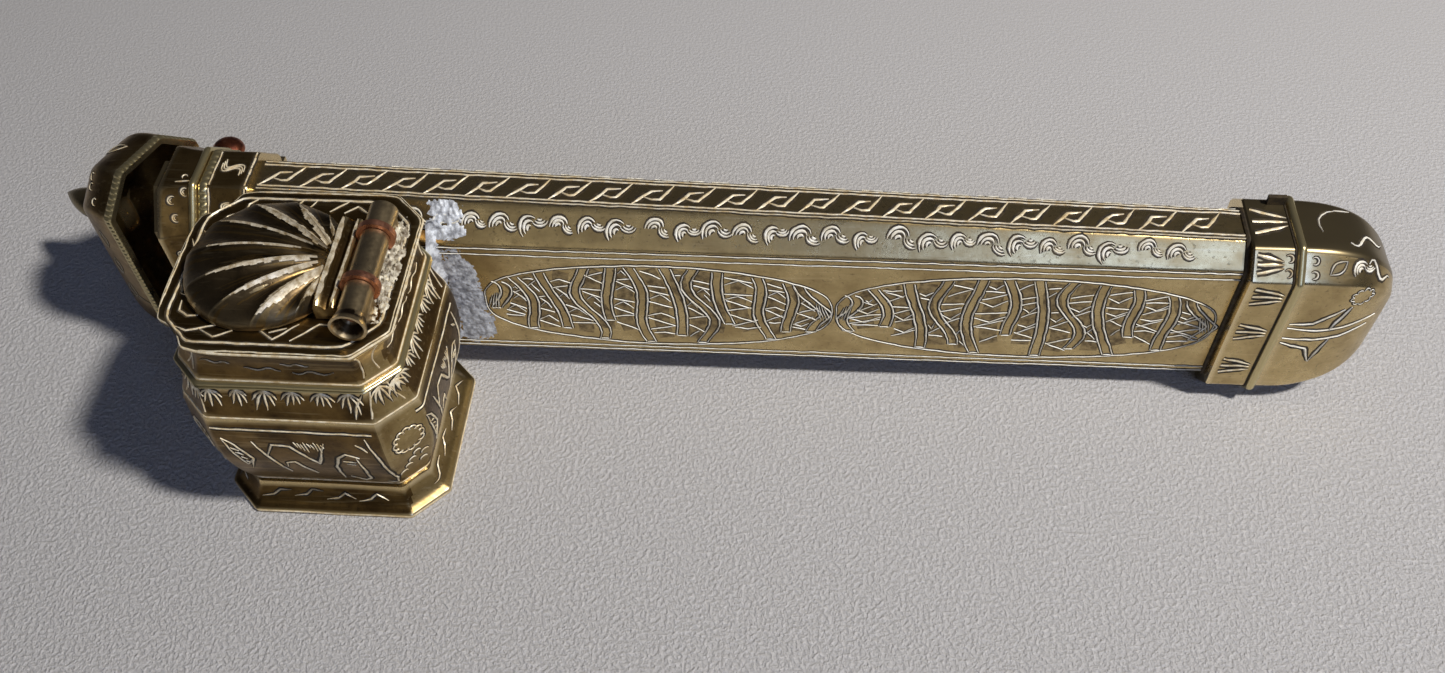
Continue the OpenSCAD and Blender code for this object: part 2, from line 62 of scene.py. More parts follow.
class Wire:
    """An output of a shader node, with arithmetic that adds Math nodes."""

    def __init__(self, recipe: "Recipe", socket: bpy.types.NodeSocket) -> None:
        """Keeps the recipe that owns the socket."""
        self.recipe = recipe
        self.socket = socket

    def _math(self, operation: str, first: "Wire | float", second: "Wire | float") -> "Wire":
        """Adds one clamped-free Math node for two operands."""
        return self.recipe.add("ShaderNodeMath", {"operation": operation}, {0: first, 1: second})

    def __add__(self, other: "Wire | float") -> "Wire":
        """Sum."""
        return self._math("ADD", self, other)

    __radd__ = __add__

    def __mul__(self, other: "Wire | float") -> "Wire":
        """Product."""
        return self._math("MULTIPLY", self, other)

    __rmul__ = __mul__

    def __sub__(self, other: "Wire | float") -> "Wire":
        """Difference."""
        return self._math("SUBTRACT", self, other)

    def __rsub__(self, other: float) -> "Wire":
        """Difference with a plain number first."""
        return self._math("SUBTRACT", other, self)

    def clamp(self) -> "Wire":
        """The value held between 0 and 1."""
        return self.recipe.add("ShaderNodeClamp", {}, {"Value": self})


class Recipe:
    """The node tree of one material."""

    def __init__(self, name: str) -> None:
        """Starts an empty material with a principled shader.

        Args:
            name: Name of the material.
        """
        self.material = bpy.data.materials.new(name)
        self.material.use_nodes = True
        self.tree = self.material.node_tree
        self.shader = self.tree.nodes["Principled BSDF"]
        self.place = self.add("ShaderNodeTexCoord", {}, {}, "Object")

    def add(self, kind: str, settings: dict, inputs: dict, output: int | str = 0) -> Wire:
        """Adds any node and gives one of its outputs.

        Args:
            kind: Blender's type name of the node.
            settings: Attributes set before the sockets; "stops" fills a colour ramp.
            inputs: Value or wire for each named or numbered input.
            output: Name or number of the output that is wanted.

        Returns:
            The output as a wire.
        """
        node = self.tree.nodes.new(kind)
        for key, value in settings.items():
            if key == "stops":
                self._fill_ramp(node, value)
            else:
                setattr(node, key, value)
        for key, value in inputs.items():
            self.feed(node.inputs[key], value)
        return Wire(self, node.outputs[output])

    def _fill_ramp(self, node: bpy.types.Node, stops: list[tuple[float, float]]) -> None:
        """Sets the grey stops of a colour ramp.

        Args:
            node: The ramp's node.
            stops: Place and grey level of each stop.
        """
        elements = node.color_ramp.elements
        while len(elements) < len(stops):
            elements.new(1.0)
        for element, (place, grey) in zip(elements, stops):
            element.position = place
            element.color = (grey, grey, grey, 1.0)

    def feed(self, socket: bpy.types.NodeSocket, value: "Wire | float | tuple") -> None:
        """Links a wire to a socket, or sets its value.

        Args:
            socket: The input.
            value: A wire, a number, or a colour of three numbers.
        """
        if isinstance(value, Wire):
            self.tree.links.new(value.socket, socket)
        elif isinstance(value, tuple) and len(value) == 3 and socket.type == "RGBA":
            socket.default_value = (*value, 1.0)
        else:
            socket.default_value = value

    def blend(self, share: "Wire | float", low: "Wire | Colour", high: "Wire | Colour") -> Wire:
        """Mixes two colours.

        Args:
            share: How much of the second colour.
            low: Colour at 0.
            high: Colour at 1.

        Returns:
            The mixed colour.
        """
        settings = {"data_type": "RGBA", "clamp_factor": True}
        return self.add("ShaderNodeMix", settings, {0: share, 6: low, 7: high}, 2)

    def cloud(self, per_metre: float, detail: float, stretch: Flat | None = None) -> Wire:
        """Soft noise through the object's own space.

        Args:
            per_metre: How many spots fit in a metre.
            detail: Octaves of the noise.
            stretch: Scale along X and across it, for brushed or drawn marks.

        Returns:
            The noise, about 0 to 1.
        """
        place = self.place
        if stretch:
            scale = (stretch[0], stretch[1], stretch[1])
            place = self.add("ShaderNodeMapping", {}, {"Vector": place, "Scale": scale})
        inputs = {"Vector": place, "Scale": per_metre, "Detail": detail, "Roughness": 0.6}
        return self.add("ShaderNodeTexNoise", {}, inputs, "Fac")

    def step(self, value: Wire, low: float, high: float) -> Wire:
        """Rises from 0 to 1 as the value goes from low to high."""
        settings = {"stops": [(low, 0.0), (high, 1.0)]}
        return self.add("ShaderNodeValToRGB", settings, {"Fac": value})

    def relief(self, height: Wire, depth_mm: float) -> None:
        """Bumps the surface by a height map.

        Args:
            height: The map, 0 to 1.
            depth_mm: Depth of the relief.
        """
        inputs = {"Height": height, "Distance": depth_mm * MM, "Strength": 1.0}
        self.set("Normal", self.add("ShaderNodeBump", {}, inputs))

    def set(self, name: str, value: "Wire | float | tuple") -> None:
        """Feeds one input of the principled shader."""
        self.feed(self.shader.inputs[name], value)


@dataclass(frozen=True)
class BrassFinish:
    """Aged sheet brass: a metal under a patchy brown film, rubbed bright along its edges."""

    name: str
    metal: Colour
    film: Colour
    rubbed: Colour
    film_share: float = 0.6
    rough: float = 0.34
    relief_mm: float = 0.05
    dark_fill: Colour = (0.018, 0.013, 0.008)
    edge: float = 0.53

    def build(self) -> bpy.types.Material:
        """Makes the material."""
        r = Recipe(self.name)
        patches = r.step(r.cloud(140, 5), 0.36, 0.66)
        grain = r.cloud(1300, 4)
        pits = r.step(r.cloud(1150, 3), 0.6, 0.72)
        scratches = r.step(r.cloud(500, 2, (0.12, 2.2)), 0.58, 0.74)
        point = r.add("ShaderNodeNewGeometry", {}, {}, "Pointiness")
        edges = r.step(point, self.edge - 0.015, self.edge + 0.03)
        hollows = r.step(point, 0.42, 0.485)
        skin = r.blend((patches * self.film_share + grain * 0.35 * self.film_share).clamp(),
                       self.metal, self.film)
        skin = r.blend(pits * 0.4, skin, self.dark_fill)
        skin = r.blend(scratches * 0.22, skin, self.rubbed)
        skin = r.blend(((1 - hollows) * 0.75).clamp(), skin, self.dark_fill)
        r.set("Base Color", r.blend(edges * (0.55 + 0.45 * grain), skin, self.rubbed))
        r.set("Metallic", 0.97)
        r.set("Roughness", (self.rough + patches * 0.1 + grain * 0.1 - edges * 0.08).clamp())
        r.set("IOR", 1.6)
        r.relief(r.cloud(160, 4) * 0.8 + grain * 0.25 - pits * 0.25 - scratches * 0.12, self.relief_mm)
        return r.material


@dataclass(frozen=True)
class LineFinish:
    """Bright burr of a graver's cut, or the painted shadow beside it."""

    name: str
    high: Colour
    low: Colour
    metallic: float
    rough: float

    def build(self) -> bpy.types.Material:
        """Makes the material."""
        r = Recipe(self.name)
        worn = r.step(r.cloud(700, 4), 0.35, 0.62)
        r.set("Base Color", r.blend(worn, self.low, self.high))
        r.set("Metallic", self.metallic)
        r.set("Roughness", (self.rough + 0.2 * r.cloud(1500, 3)).clamp())
        r.relief(r.cloud(1800, 3), 0.05)
        return r.material


@dataclass(frozen=True)
class CopperFinish:
    """Worn copper with brown tarnish."""

    name: str = "worn_copper"
    bright: Colour = (0.42, 0.135, 0.065)
    tarnish: Colour = (0.10, 0.03, 0.018)

    def build(self) -> bpy.types.Material:
        """Makes the material."""
        r = Recipe(self.name)
        spots = r.step(r.cloud(420, 5), 0.4, 0.62)
        edges = r.step(r.add("ShaderNodeNewGeometry", {}, {}, "Pointiness"), 0.52, 0.58)
        colour = r.blend(spots, self.bright, self.tarnish)
        r.set("Base Color", r.blend(edges * 0.7, colour, (0.75, 0.36, 0.22)))
        r.set("Metallic", 0.95)
        r.set("Roughness", (0.26 + spots * 0.2).clamp())
        r.relief(r.cloud(700, 4), 0.04)
        return r.material


@dataclass(frozen=True)
class SolderFinish:
    """Dull soft solder with white bloom."""

    name: str
    pale: Colour
    dark: Colour
    relief_mm: float = 0.25

    def build(self) -> bpy.types.Material:
        """Makes the material."""
        r = Recipe(self.name)
        bloom = r.step(r.cloud(650, 6), 0.38, 0.62)
        grit = r.cloud(1900, 5)
        r.set("Base Color", r.blend((bloom * 0.9 + grit * 0.4 - 0.15).clamp(), self.dark, self.pale))
        r.set("Metallic", 0.12)
        r.set("Roughness", (0.36 + grit * 0.3).clamp())
        r.relief(grit * 0.6 + bloom * 0.4, self.relief_mm)
        return r.material


@dataclass(frozen=True)
class TableFinish:
    """Pale grey table with a fine pebbled grain, painted lighter toward the front."""

    name: str = "pale_table"
    light: Colour = (0.66, 0.645, 0.63)
    dark: Colour = (0.48, 0.47, 0.46)

    def build(self) -> bpy.types.Material:
        """Makes the material."""
        r = Recipe(self.name)
        pebbles = r.step(r.cloud(1250, 4), 0.38, 0.64)
        reach = r.add("ShaderNodeSeparateXYZ", {}, {"Vector": r.place}, "Y")
        # Painted light: the table's colour is lighter toward the front, and its grain is coarser there.
        toward_front = r.step(0.62 - 3.0 * reach, 0.1, 0.75)
        r.set("Base Color", r.blend((0.45 + 0.4 * toward_front + (pebbles - 0.5) * (0.15 + 0.85 * toward_front)).clamp(),
                                    self.dark, self.light))
        r.set("Roughness", 0.38)
        r.relief(pebbles * (0.1 + 0.9 * toward_front), 0.3)
        return r.material


class Finish(Enum):
    """The finishes of the set, each with its recipe and the slot that it belongs to."""

    CASE = (BrassFinish("case_brass", (0.68, 0.53, 0.265), (0.36, 0.255, 0.11), (0.92, 0.76, 0.46),
                        0.65, 0.2), "brass")
    WELL = (BrassFinish("well_brass", (0.245, 0.15, 0.048), (0.07, 0.04, 0.013), (0.90, 0.70, 0.36),
                        0.85, 0.27), "brass")
    # Painted highlight: brighter brass for the well's right side, where the key lamp falls.
    CORNER = (BrassFinish("painted_lit_brass", (0.50, 0.37, 0.16), (0.24, 0.16, 0.06), (0.92, 0.76, 0.46),
                          0.7, 0.27), "brass")
    COLLAR = (BrassFinish("collar_brass", (0.36, 0.235, 0.085), (0.10, 0.06, 0.02), (0.90, 0.72, 0.40),
                          0.85, 0.27), "brass")
    HINGE = (BrassFinish("hinge_brass", (0.10, 0.062, 0.028), (0.03, 0.02, 0.012), (0.72, 0.56, 0.32),
                         0.9, 0.3), "brass")
    LID = (BrassFinish("lid_brass", (0.21, 0.145, 0.07), (0.04, 0.027, 0.014), (0.75, 0.60, 0.34),
                       0.9, 0.3, 0.05, (0.008, 0.006, 0.004), 0.515), "brass")
    DARK = (BrassFinish("dark_brass", (0.20, 0.12, 0.045), (0.065, 0.038, 0.015), (0.55, 0.43, 0.24),
                        0.85, 0.28), "dark_brass")
    BRIGHT = (BrassFinish("bright_brass", (0.90, 0.72, 0.40), (0.46, 0.32, 0.13), (0.98, 0.89, 0.66),
                          0.45, 0.25), "bright_brass")
    CUT = (LineFinish("cut_bright", (0.98, 0.88, 0.65), (0.66, 0.50, 0.26), 0.15, 0.28), "bright_brass")
    CUT_PALE = (LineFinish("cut_pale", (1.0, 0.97, 0.86), (0.78, 0.71, 0.54), 0.0, 0.35), "bright_brass")
    CREST = (LineFinish("rubbed_crest", (0.95, 0.85, 0.64), (0.38, 0.28, 0.14), 0.3, 0.28), "bright_brass")
    # Painted shade: near-black finish for the shadow beside the cuts, the shadow rings at the butt collar and the
    # butt's tab.
    DIRT = (LineFinish("painted_shade", (0.020, 0.014, 0.008), (0.065, 0.045, 0.02), 0.2, 0.6), "dark_brass")
    GROUND = (LineFinish("stippled_ground", (0.44, 0.33, 0.16), (0.15, 0.105, 0.05), 0.75, 0.3), "dark_brass")
    COPPER = (CopperFinish(), "copper")
    SOLDER = (SolderFinish("soft_solder", (0.93, 0.97, 1.0), (0.31, 0.32, 0.34), 0.12), "solder")
    RESIDUE = (SolderFinish("solder_residue", (0.90, 0.84, 0.66), (0.16, 0.115, 0.065), 0.15), "solder")
    TABLE = (TableFinish(), "")

    @property
    def material(self) -> bpy.types.Material:
        """The finish's material, made when it is first asked for."""
        recipe = self.value[0]
        return bpy.data.materials.get(recipe.name) or recipe.build()

    @property
    def slot(self) -> str:
        """Name of the record's material slot."""
        return self.value[1]


# ---------------------------------------------------------------- outlines and forms


def lerp(a: float, b: float, t: float) -> float:
    """Value between a and b."""
    return a + (b - a) * t


def outline(width: float, height: float, cut: float, soft: float, side: int = 8, arc: int = 3) -> list[Flat]:
    """Rectangle with cut corners whose eight edges are worn round, counter-clockwise.

    Args:
        width: Size along the first axis.
        height: Size along the second axis.
        cut: Corner cut.
        soft: How far each corner is worn back along its sides.
        side: Steps along each side.
        arc: Steps round each corner.

    Returns:
        The outline's points.
    """
    a, b, c = width / 2, height / 2, cut
    corners = [(a, c - b), (a, b - c), (a - c, b), (c - a, b),
               (-a, b - c), (-a, c - b), (c - a, -b), (a - c, -b)]
    sides = [math.dist(corners[i], corners[(i + 1) % 8]) for i in range(8)]
    worn = min(soft, 0.45 * min(sides))
    points: list[Flat] = []
    for i, (x, y) in enumerate(corners):
        before, after = corners[i - 1], corners[(i + 1) % 8]
        back, on = worn / sides[i - 1], worn / sides[i]
        start = (lerp(x, before[0], back), lerp(y, before[1], back))
        end = (lerp(x, after[0], on), lerp(y, after[1], on))
        for k in range(arc + 1):
            t = k / arc
            p, q, r = (1 - t) ** 2, 2 * t * (1 - t), t * t
            points.append((p * start[0] + q * x + r * end[0], p * start[1] + q * y + r * end[1]))
        stop = (lerp(after[0], x, worn / sides[i]), lerp(after[1], y, worn / sides[i]))
        points += [(lerp(end[0], stop[0], k / side), lerp(end[1], stop[1], k / side))
                   for k in range(1, side)]
    return points


@dataclass
class Form:
    """A mesh in the making, in millimetres."""

    points: list[Vector] = field(default_factory=list)
    faces: list[tuple[int, ...]] = field(default_factory=list)
    marks: list[int] = field(default_factory=list)

    def add(self, points: list[Vector], faces: list[tuple[int, ...]], mark: int = 0) -> None:
        """Adds a lump of mesh.

        Args:
            points: Its points.
            faces: Its faces, numbered from its own first point.
            mark: Which of the piece's finishes it takes.
        """
        base = len(self.points)
        self.points += points
        self.faces += [tuple(base + i for i in f) for f in faces]
        self.marks += [mark] * len(faces)

    def sheet(self, outer: list[Ring], inner: list[Ring], mark: int = 0) -> None:
        """Closed sheet between an outer and an inner stack of rings.

        Args:
            outer: Rings of the outside.
            inner: Rings of the inside, in the same order.
            mark: Which of the piece's finishes it takes.
        """
        loop = outer + inner[::-1]
        n, m = len(loop[0]), len(loop)
        faces = [(j * n + i, (j + 1) % m * n + i, (j + 1) % m * n + (i + 1) % n, j * n + (i + 1) % n)
                 for j in range(m) for i in range(n)]
        self.add([p for ring in loop for p in ring], faces, mark)

    def solid(self, rings: list[Ring], mark: int = 0) -> None:
        """Solid through a stack of rings, closed at both ends.

        Args:
            rings: The rings, all with as many points.
            mark: Which of the piece's finishes it takes.
        """
        n, m = len(rings[0]), len(rings)
        points = [p for ring in rings for p in ring]
        faces = [(j * n + i, (j + 1) * n + i, (j + 1) * n + (i + 1) % n, j * n + (i + 1) % n)
                 for j in range(m - 1) for i in range(n)]
        for ring, base in ((rings[0], 0), (rings[-1], (m - 1) * n)):
            points.append(sum(ring, Vector()) / n)
            faces += [(base + i, base + (i + 1) % n, len(points) - 1) for i in range(n)]
        self.add(points, faces, mark)

    def moved(self, place: Matrix) -> "Form":
        """The form carried by a matrix in millimetres."""
        return Form([place @ p for p in self.points], self.faces, self.marks)

    def surface(self) -> BVHTree:
        """A tree to find the surface with, in millimetres."""
        return BVHTree.FromPolygons(self.points, self.faces)

    def worn(self, amount: float, spread: float) -> "Form":
        """The form with a slow hand-beaten unevenness.

        Args:
            amount: Largest shift in millimetres.
            spread: Length of a swell in millimetres.

        Returns:
            A new form.
        """
        shift = [noise.noise_vector(p / spread) * amount + noise.noise_vector(p / spread * 3.1) * amount * 0.35
                 for p in self.points]
        return Form([p + s for p, s in zip(self.points, shift)], self.faces, self.marks)

    def tarnish(self, dark: Callable[[Vector], bool], mark: int = 1) -> None:
        """Marks the faces whose middle passes a test.

        Args:
            dark: The test.
            mark: The mark that they get.
        """
        self.marks = [mark if dark(sum((self.points[i] for i in f), Vector()) / len(f)) else m
                      for f, m in zip(self.faces, self.marks)]

    def make(self, name: str, body: str, finishes: list[Finish], stands_for: tuple[str, ...] = (),
             sharp: float = 40.0) -> bpy.types.Object:
        """Turns the form into a piece that rides on a body.

        Args:
            name: Name of the piece.
            body: Body that it rides on.
            finishes: Its finishes, by mark.
            stands_for: CAD nodes that it replaces.
            sharp: Edges over this many degrees stay sharp.

        Returns:
            The piece.
        """
        mesh = bpy.data.meshes.new(name)
        mesh.from_pydata([p * MM for p in self.points], [], self.faces)
        mesh.polygons.foreach_set("material_index", self.marks)
        for finish in finishes:
            mesh.materials.append(finish.material)
        work = bmesh.new()
        work.from_mesh(mesh)
        bmesh.ops.recalc_face_normals(work, faces=work.faces)
        work.to_mesh(mesh)
        work.free()
        mesh.shade_smooth()
        mesh.set_sharp_from_angle(angle=math.radians(sharp))
        piece = bpy.data.objects.new(name, mesh)
        bpy.context.scene.collection.objects.link(piece)
        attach(piece, body)
        if stands_for:
            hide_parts(*stands_for)
        LOG.info("%s: %d points on %s", name, len(self.points), body)
        return piece


def dress(finish: Finish, *nodes: str, bevel_mm: float = 0.15) -> None:
    """Gives CAD nodes a finish and broken edges.

    Args:
        finish: The finish.
        nodes: Names of the nodes.
        bevel_mm: Width of the broken edges.
    """
    for name in nodes:
        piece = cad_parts[name]
        piece.data.materials.clear()
        piece.data.materials.append(finish.material)
        for polygon in piece.data.polygons:
            polygon.material_index = 0
        edge = piece.modifiers.new("broken_edge", "BEVEL")
        edge.width = bevel_mm * MM
        edge.segments = 2
        edge.limit_method = "ANGLE"
        edge.angle_limit = math.radians(40)
        LOG.info("%s: dressed in %s", name, finish.name.lower())


# ---------------------------------------------------------------- engraving


@dataclass(frozen=True)
class Stroke:
    """One cut of the graver, drawn flat in millimetres."""

    points: tuple[Flat, ...]
    width: float = 0.42
    start: float = 0.35
    end: float = 0.35

    def bolder(self, share: float) -> "Stroke":
        """The stroke with its width grown."""
        return Stroke(self.points, self.width * share, self.start, self.end)

    def turned(self, degrees: float, to: Flat = (0.0, 0.0), scale: float = 1.0) -> "Stroke":
        """The stroke turned about zero, scaled, and moved.

        Args:
            degrees: Turn, counter-clockwise.
            to: Where its zero goes.
            scale: Growth of its shape.

        Returns:
            A new stroke.
        """
        c, s = math.cos(math.radians(degrees)) * scale, math.sin(math.radians(degrees)) * scale
        points = tuple((to[0] + c * x - s * y, to[1] + s * x + c * y) for x, y in self.points)
        return Stroke(points, self.width, self.start, self.end)


def arc(centre: Flat, radius: float, start: float, stop: float, width: float = 0.35, squash: float = 1.0) -> Stroke:
    """Stroke along part of a circle.

    Args:
        centre: Middle of the circle.
        radius: Its radius.
        start: First angle in degrees.
        stop: Last angle in degrees.
        width: Width of the stroke.
        squash: Share of the radius kept across.

    Returns:
        The stroke.
    """
    steps = max(4, int(abs(stop - start) / 20))
    angles = [math.radians(lerp(start, stop, k / steps)) for k in range(steps + 1)]
    return Stroke(tuple((centre[0] + radius * math.cos(a), centre[1] + radius * squash * math.sin(a))
                        for a in angles), width)


def line(*points: Flat, width: float = 0.42, start: float = 0.35, end: float = 0.35) -> Stroke:
    """Stroke through a few points."""
    return Stroke(tuple(points), width, start, end)


def loop(points: list[Flat], width: float) -> Stroke:
    """Closed stroke of even width."""
    return Stroke(tuple(points + points[:1]), width, 1.0, 1.0)


@dataclass(frozen=True)
class Patch:
    """A flat frame held over part of a surface, in millimetres."""

    origin: Vector
    along: Vector
    across: Vector

    @property
    def facing(self) -> Vector:
        """Direction away from the surface."""
        return self.along.cross(self.across).normalized()

    def at(self, u: float, v: float) -> Vector:
        """Point of the frame."""
        return self.origin + self.along * u + self.across * v


class Engraver:
    """Cuts strokes into a surface: a bright burr on a bed of painted shadow."""

    STEP = 0.55
    SINK = 0.05
    LIFT = 7.0
    LOW_RIBBON_HEIGHT = 0.05

    def __init__(self, target: Form) -> None:
        """Takes the surface to cut.

        Args:
            target: Form whose outside is engraved.
        """
        self.tree = target.surface()
        self.form = Form()

    def land(self, patch: Patch, u: float, v: float) -> tuple[Vector, Vector] | None:
        """Where a point of a patch falls on the surface.

        Args:
            patch: The patch.
            u: Place along it.
            v: Place across it.

        Returns:
            The point and its outward direction, or None off the surface.
        """
        facing = patch.facing
        spot, normal, _, _ = self.tree.ray_cast(patch.at(u, v) + facing * self.LIFT, -facing, 3 * self.LIFT)
        if spot is None:
            return None
        return spot, normal if normal.dot(facing) > 0 else -normal

    def _path(self, stroke: Stroke) -> list[Flat]:
        """The stroke's points, close together and slightly unsteady."""
        path: list[Flat] = []
        for a, b in zip(stroke.points, stroke.points[1:]):
            steps = max(1, round(math.dist(a, b) / self.STEP))
            path += [(lerp(a[0], b[0], k / steps), lerp(a[1], b[1], k / steps)) for k in range(steps)]
        path.append(stroke.points[-1])
        shaky = []
        for x, y in path:
            n = noise.noise_vector(Vector((x * 0.45, y * 0.45, 3.7)))
            shaky.append((x + 0.16 * n.x, y + 0.16 * n.y))
        return shaky

    def cut(self, patch: Patch, strokes: list[Stroke], height: float = 0.11, shadow_share: float = 1.9) -> None:
        """Cuts strokes through a patch.

        Args:
            patch: Where they lie.
            strokes: The strokes.
            height: Height of the burr.
            shadow_share: Width of the painted shadow as a share of the burr's, or 0 for none.
        """
        for stroke in strokes:
            landed = [self.land(patch, u, v) for u, v in self._path(stroke)]
            spine = [x for x in landed if x]
            if len(spine) < 2:
                continue
            count = len(spine) - 1
            widths = []
            for k in range(count + 1):
                t = k / count
                grow = min(1.0, stroke.start + (1 - stroke.start) * t / 0.3,
                           stroke.end + (1 - stroke.end) * (1 - t) / 0.3)
                uneven = 1 + 0.35 * noise.noise(spine[k][0] * 0.9)
                widths.append(stroke.width * grow * uneven)
            self._ribbon(spine, widths, 1.35 * height, 0)
            if shadow_share:
                # Painted shadow of the cut: a low near-black ribbon beside the burr.
                self._ribbon(spine, [shadow_share * w + 0.1 for w in widths], self.LOW_RIBBON_HEIGHT, 1, 0.92)

    def stipple(self, patch: Patch, strokes: list[Stroke]) -> None:
        """Roughens the ground under broad strokes.

        Args:
            patch: Where they lie.
            strokes: The strokes.
        """
        for stroke in strokes:
            spine = [x for x in (self.land(patch, u, v) for u, v in self._path(stroke)) if x]
            if len(spine) > 1:
                self._ribbon(spine, [stroke.width] * len(spine), self.LOW_RIBBON_HEIGHT * 0.7, 2, 0.95)

    def _ribbon(self, spine: list[tuple[Vector, Vector]], widths: list[float], height: float, mark: int,
                crown: float = 0.12) -> None:
        """Adds one low ridge.

        Args:
            spine: Points and outward directions.
            widths: Its width at each.
            height: Its height.
            mark: Its finish.
            crown: Share of the width kept at the top.
        """
        rings = []
        for k, ((spot, normal), width) in enumerate(zip(spine, widths)):
            ahead, behind = spine[min(k + 1, len(spine) - 1)][0], spine[max(k - 1, 0)][0]
            side = (ahead - behind).cross(normal)
            if side.length < 1e-6:
                continue
            side = side.normalized() * width / 2
            low, high = spot - normal * self.SINK, spot + normal * height
            rings.append([low - side, high - side * crown, high + side * crown, low + side])
        if len(rings) > 1:
            self.form.solid(rings, mark)

    def make(self, name: str, body: str, bright: Finish = Finish.CUT) -> bpy.types.Object:
        """Makes the engraving a piece.

        Args:
            name: Name of the piece.
            body: Body that it rides on.
            bright: Finish of the burr.

        Returns:
            The piece.
        """
        return self.form.make(name, body, [bright, Finish.DIRT, Finish.GROUND])


class Ornament:
    """The patterns of the set, drawn flat in millimetres. None of them is a letter."""

    @staticmethod
    def key_row(length: float, pitch: float, half: float) -> list[Stroke]:
        """Running row of leaning keys between two border lines.

        Args:
            length: Length of the row.
            pitch: Length of one key.
            half: Half the row's width.

        Returns:
            The strokes.
        """
        strokes = [line((0, s * k), (length, s * k), width=w, start=1, end=1)
                   for k, w in ((half, 0.5), (half + 0.8, 0.36)) for s in (-1, 1)]
        for k in range(int(length / pitch)):
            x = k * pitch + 0.3
            lean = 0.35 * math.sin(k * 2.3)
            strokes += [
                line((x, -half + 0.1), (x + 2.2, -0.5), (x + 3.3 + lean, 0.85), (x + 5.8, 1.15), width=0.78),
                line((x + 2.3, -0.7), (x + 4.0, -1.3), (x + 5.1 + lean, -1.15), (x + 8.0, half - 0.2), width=0.74)]
        return strokes

    @staticmethod
    def curl(at: Flat, size: float, turn: float = 0.0) -> list[Stroke]:
        """Double curl struck with one punch.

        Args:
            at: Its middle.
            size: Its size as a share of the large one.
            turn: Turn in degrees.

        Returns:
            The strokes.
        """
        flat = [arc((-0.9, -0.7), r, 215, 45, 0.74, 1.2) for r in (0.5, 1.2, 1.9)]
        flat += [arc((1.3, 0.9), r, 205, 330, 0.6) for r in (0.45, 1.05, 1.6)]
        return [s.turned(turn, at, size) for s in flat]

    @staticmethod
    def s_scroll(at: Flat, size: float, turn: float) -> list[Stroke]:
        """Bold S of three lines.

        Args:
            at: Its middle.
            size: Its size.
            turn: Turn in degrees.

        Returns:
            The strokes.
        """
        strokes = []
        for off in (-0.62, 0.0, 0.62):
            wave = [(x / 4.0, 1.15 * math.sin(x / 4.0 * 1.25) + off) for x in range(-11, 12)]
            strokes.append(Stroke(tuple(wave), 0.5, 0.6, 0.6).turned(turn, at, size))
        return strokes

    @staticmethod
    def cartouche(length: float, half: float, seed: float) -> list[Stroke]:
        """Long pointed oval filled with tall reeds and hatching.

        Args:
            length: Its length.
            half: Half its width.
            seed: Varies the reeds.

        Returns:
            The strokes.
        """
        def edge(x: float) -> float:
            """Half width at x."""
            return half * max(0.0, math.sin(math.pi * min(1, max(0, x / length)))) ** 0.34

        steps = 44
        rim = [length * (1 - math.cos(math.pi * k / steps)) / 2 for k in range(steps + 1)]
        strokes = [Stroke(tuple((x, s * edge(x)) for x in rim), 0.46, 0.6, 0.6) for s in (-1, 1)]
        count = round(length / 6.1)
        spans: list[list[Flat]] = []
        for k in range(count):
            x0 = (k + 0.5) * length / count + 0.5 * math.sin(seed + 2.1 * k)
            sway = 1.5 + 0.7 * math.sin(seed * 2 + 1.7 * k)
            foot = (1.0, 0.45, 1.0, 0.8)[(k + int(seed)) % 4]
            spine = []
            for j in range(13):
                v = lerp(-foot, 1.0, j / 12)
                x = x0 - 1.3 * v + sway * math.sin(v * (2.6 + 0.9 * math.sin(2.9 * k)) + 1.3 * k)
                spine.append((x, v * edge(x) * 0.95))
            spans.append(spine)
            strokes += [Stroke(tuple((x + off, y) for x, y in spine), 0.5, 0.6, 0.6) for off in (-1.05, 1.05)]
            low = spine[0]
            strokes.append(line((low[0] - 0.85, low[1]), (low[0] + 0.85, low[1]), width=0.36))
        for k, (left, right) in enumerate(zip(spans, spans[1:])):
            middle = tuple(((a[0] + b[0]) / 2, 0.97 * (a[1] + b[1]) / 2) for a, b in zip(left, right))
            strokes.append(Stroke(middle, max(1.0, length / count - 2.6), 1.0, 1.0))
            for j in range(1, 12):
                turn = 0.9 * math.sin(2.3 * j + 1.9 * k + seed)
                a, b = left[j][0] + 1.5, right[j][0] - 1.5
                y = (left[j][1] + right[j][1]) / 2
                if b - a < 1.0 or (j + 2 * k) % 5 == 0:
                    continue
                if (j + k) % 3 == 0:
                    strokes.append(line((a, y), ((a + b) / 2, y + 1.5 * turn), (b, y - 0.8 * turn), width=0.4))
                else:
                    strokes.append(line((a, y - 1.3 * turn), (b, y + 1.3 * turn), width=0.38, start=0.7, end=0.5))
        for k in range(1, 5):
            for side in (0, 1):
                x = abs(side * length - 0.55 * k)
                strokes.append(line((x, -0.5 * edge(x)), (x + 1.1 - 2.2 * side, 0.5 * edge(x)), width=0.3))
        return strokes

    @staticmethod
    def tuft(at: Flat, size: float, lean: float = 0.0) -> list[Stroke]:
        """Tuft of grass that hangs from its root.

        Args:
            at: Its root.
            size: Length of its middle blade.
            lean: Turn in degrees.

        Returns:
            The strokes.
        """
        blades = []
        for k, angle in enumerate((-46, -22, 1, 24, 48)):
            reach = size * (1.0 if abs(angle) < 30 else 0.78) * (0.86 + 0.14 * math.sin(5 * k + at[0]))
            a = math.radians(angle + lean)
            tip = (reach * math.sin(a), -reach * math.cos(a))
            bend = (tip[0] * 0.62, tip[1] * 0.42)
            blades.append(line((0, 0), bend, tip, width=0.46, start=0.9, end=0.2).turned(0, at))
        return blades

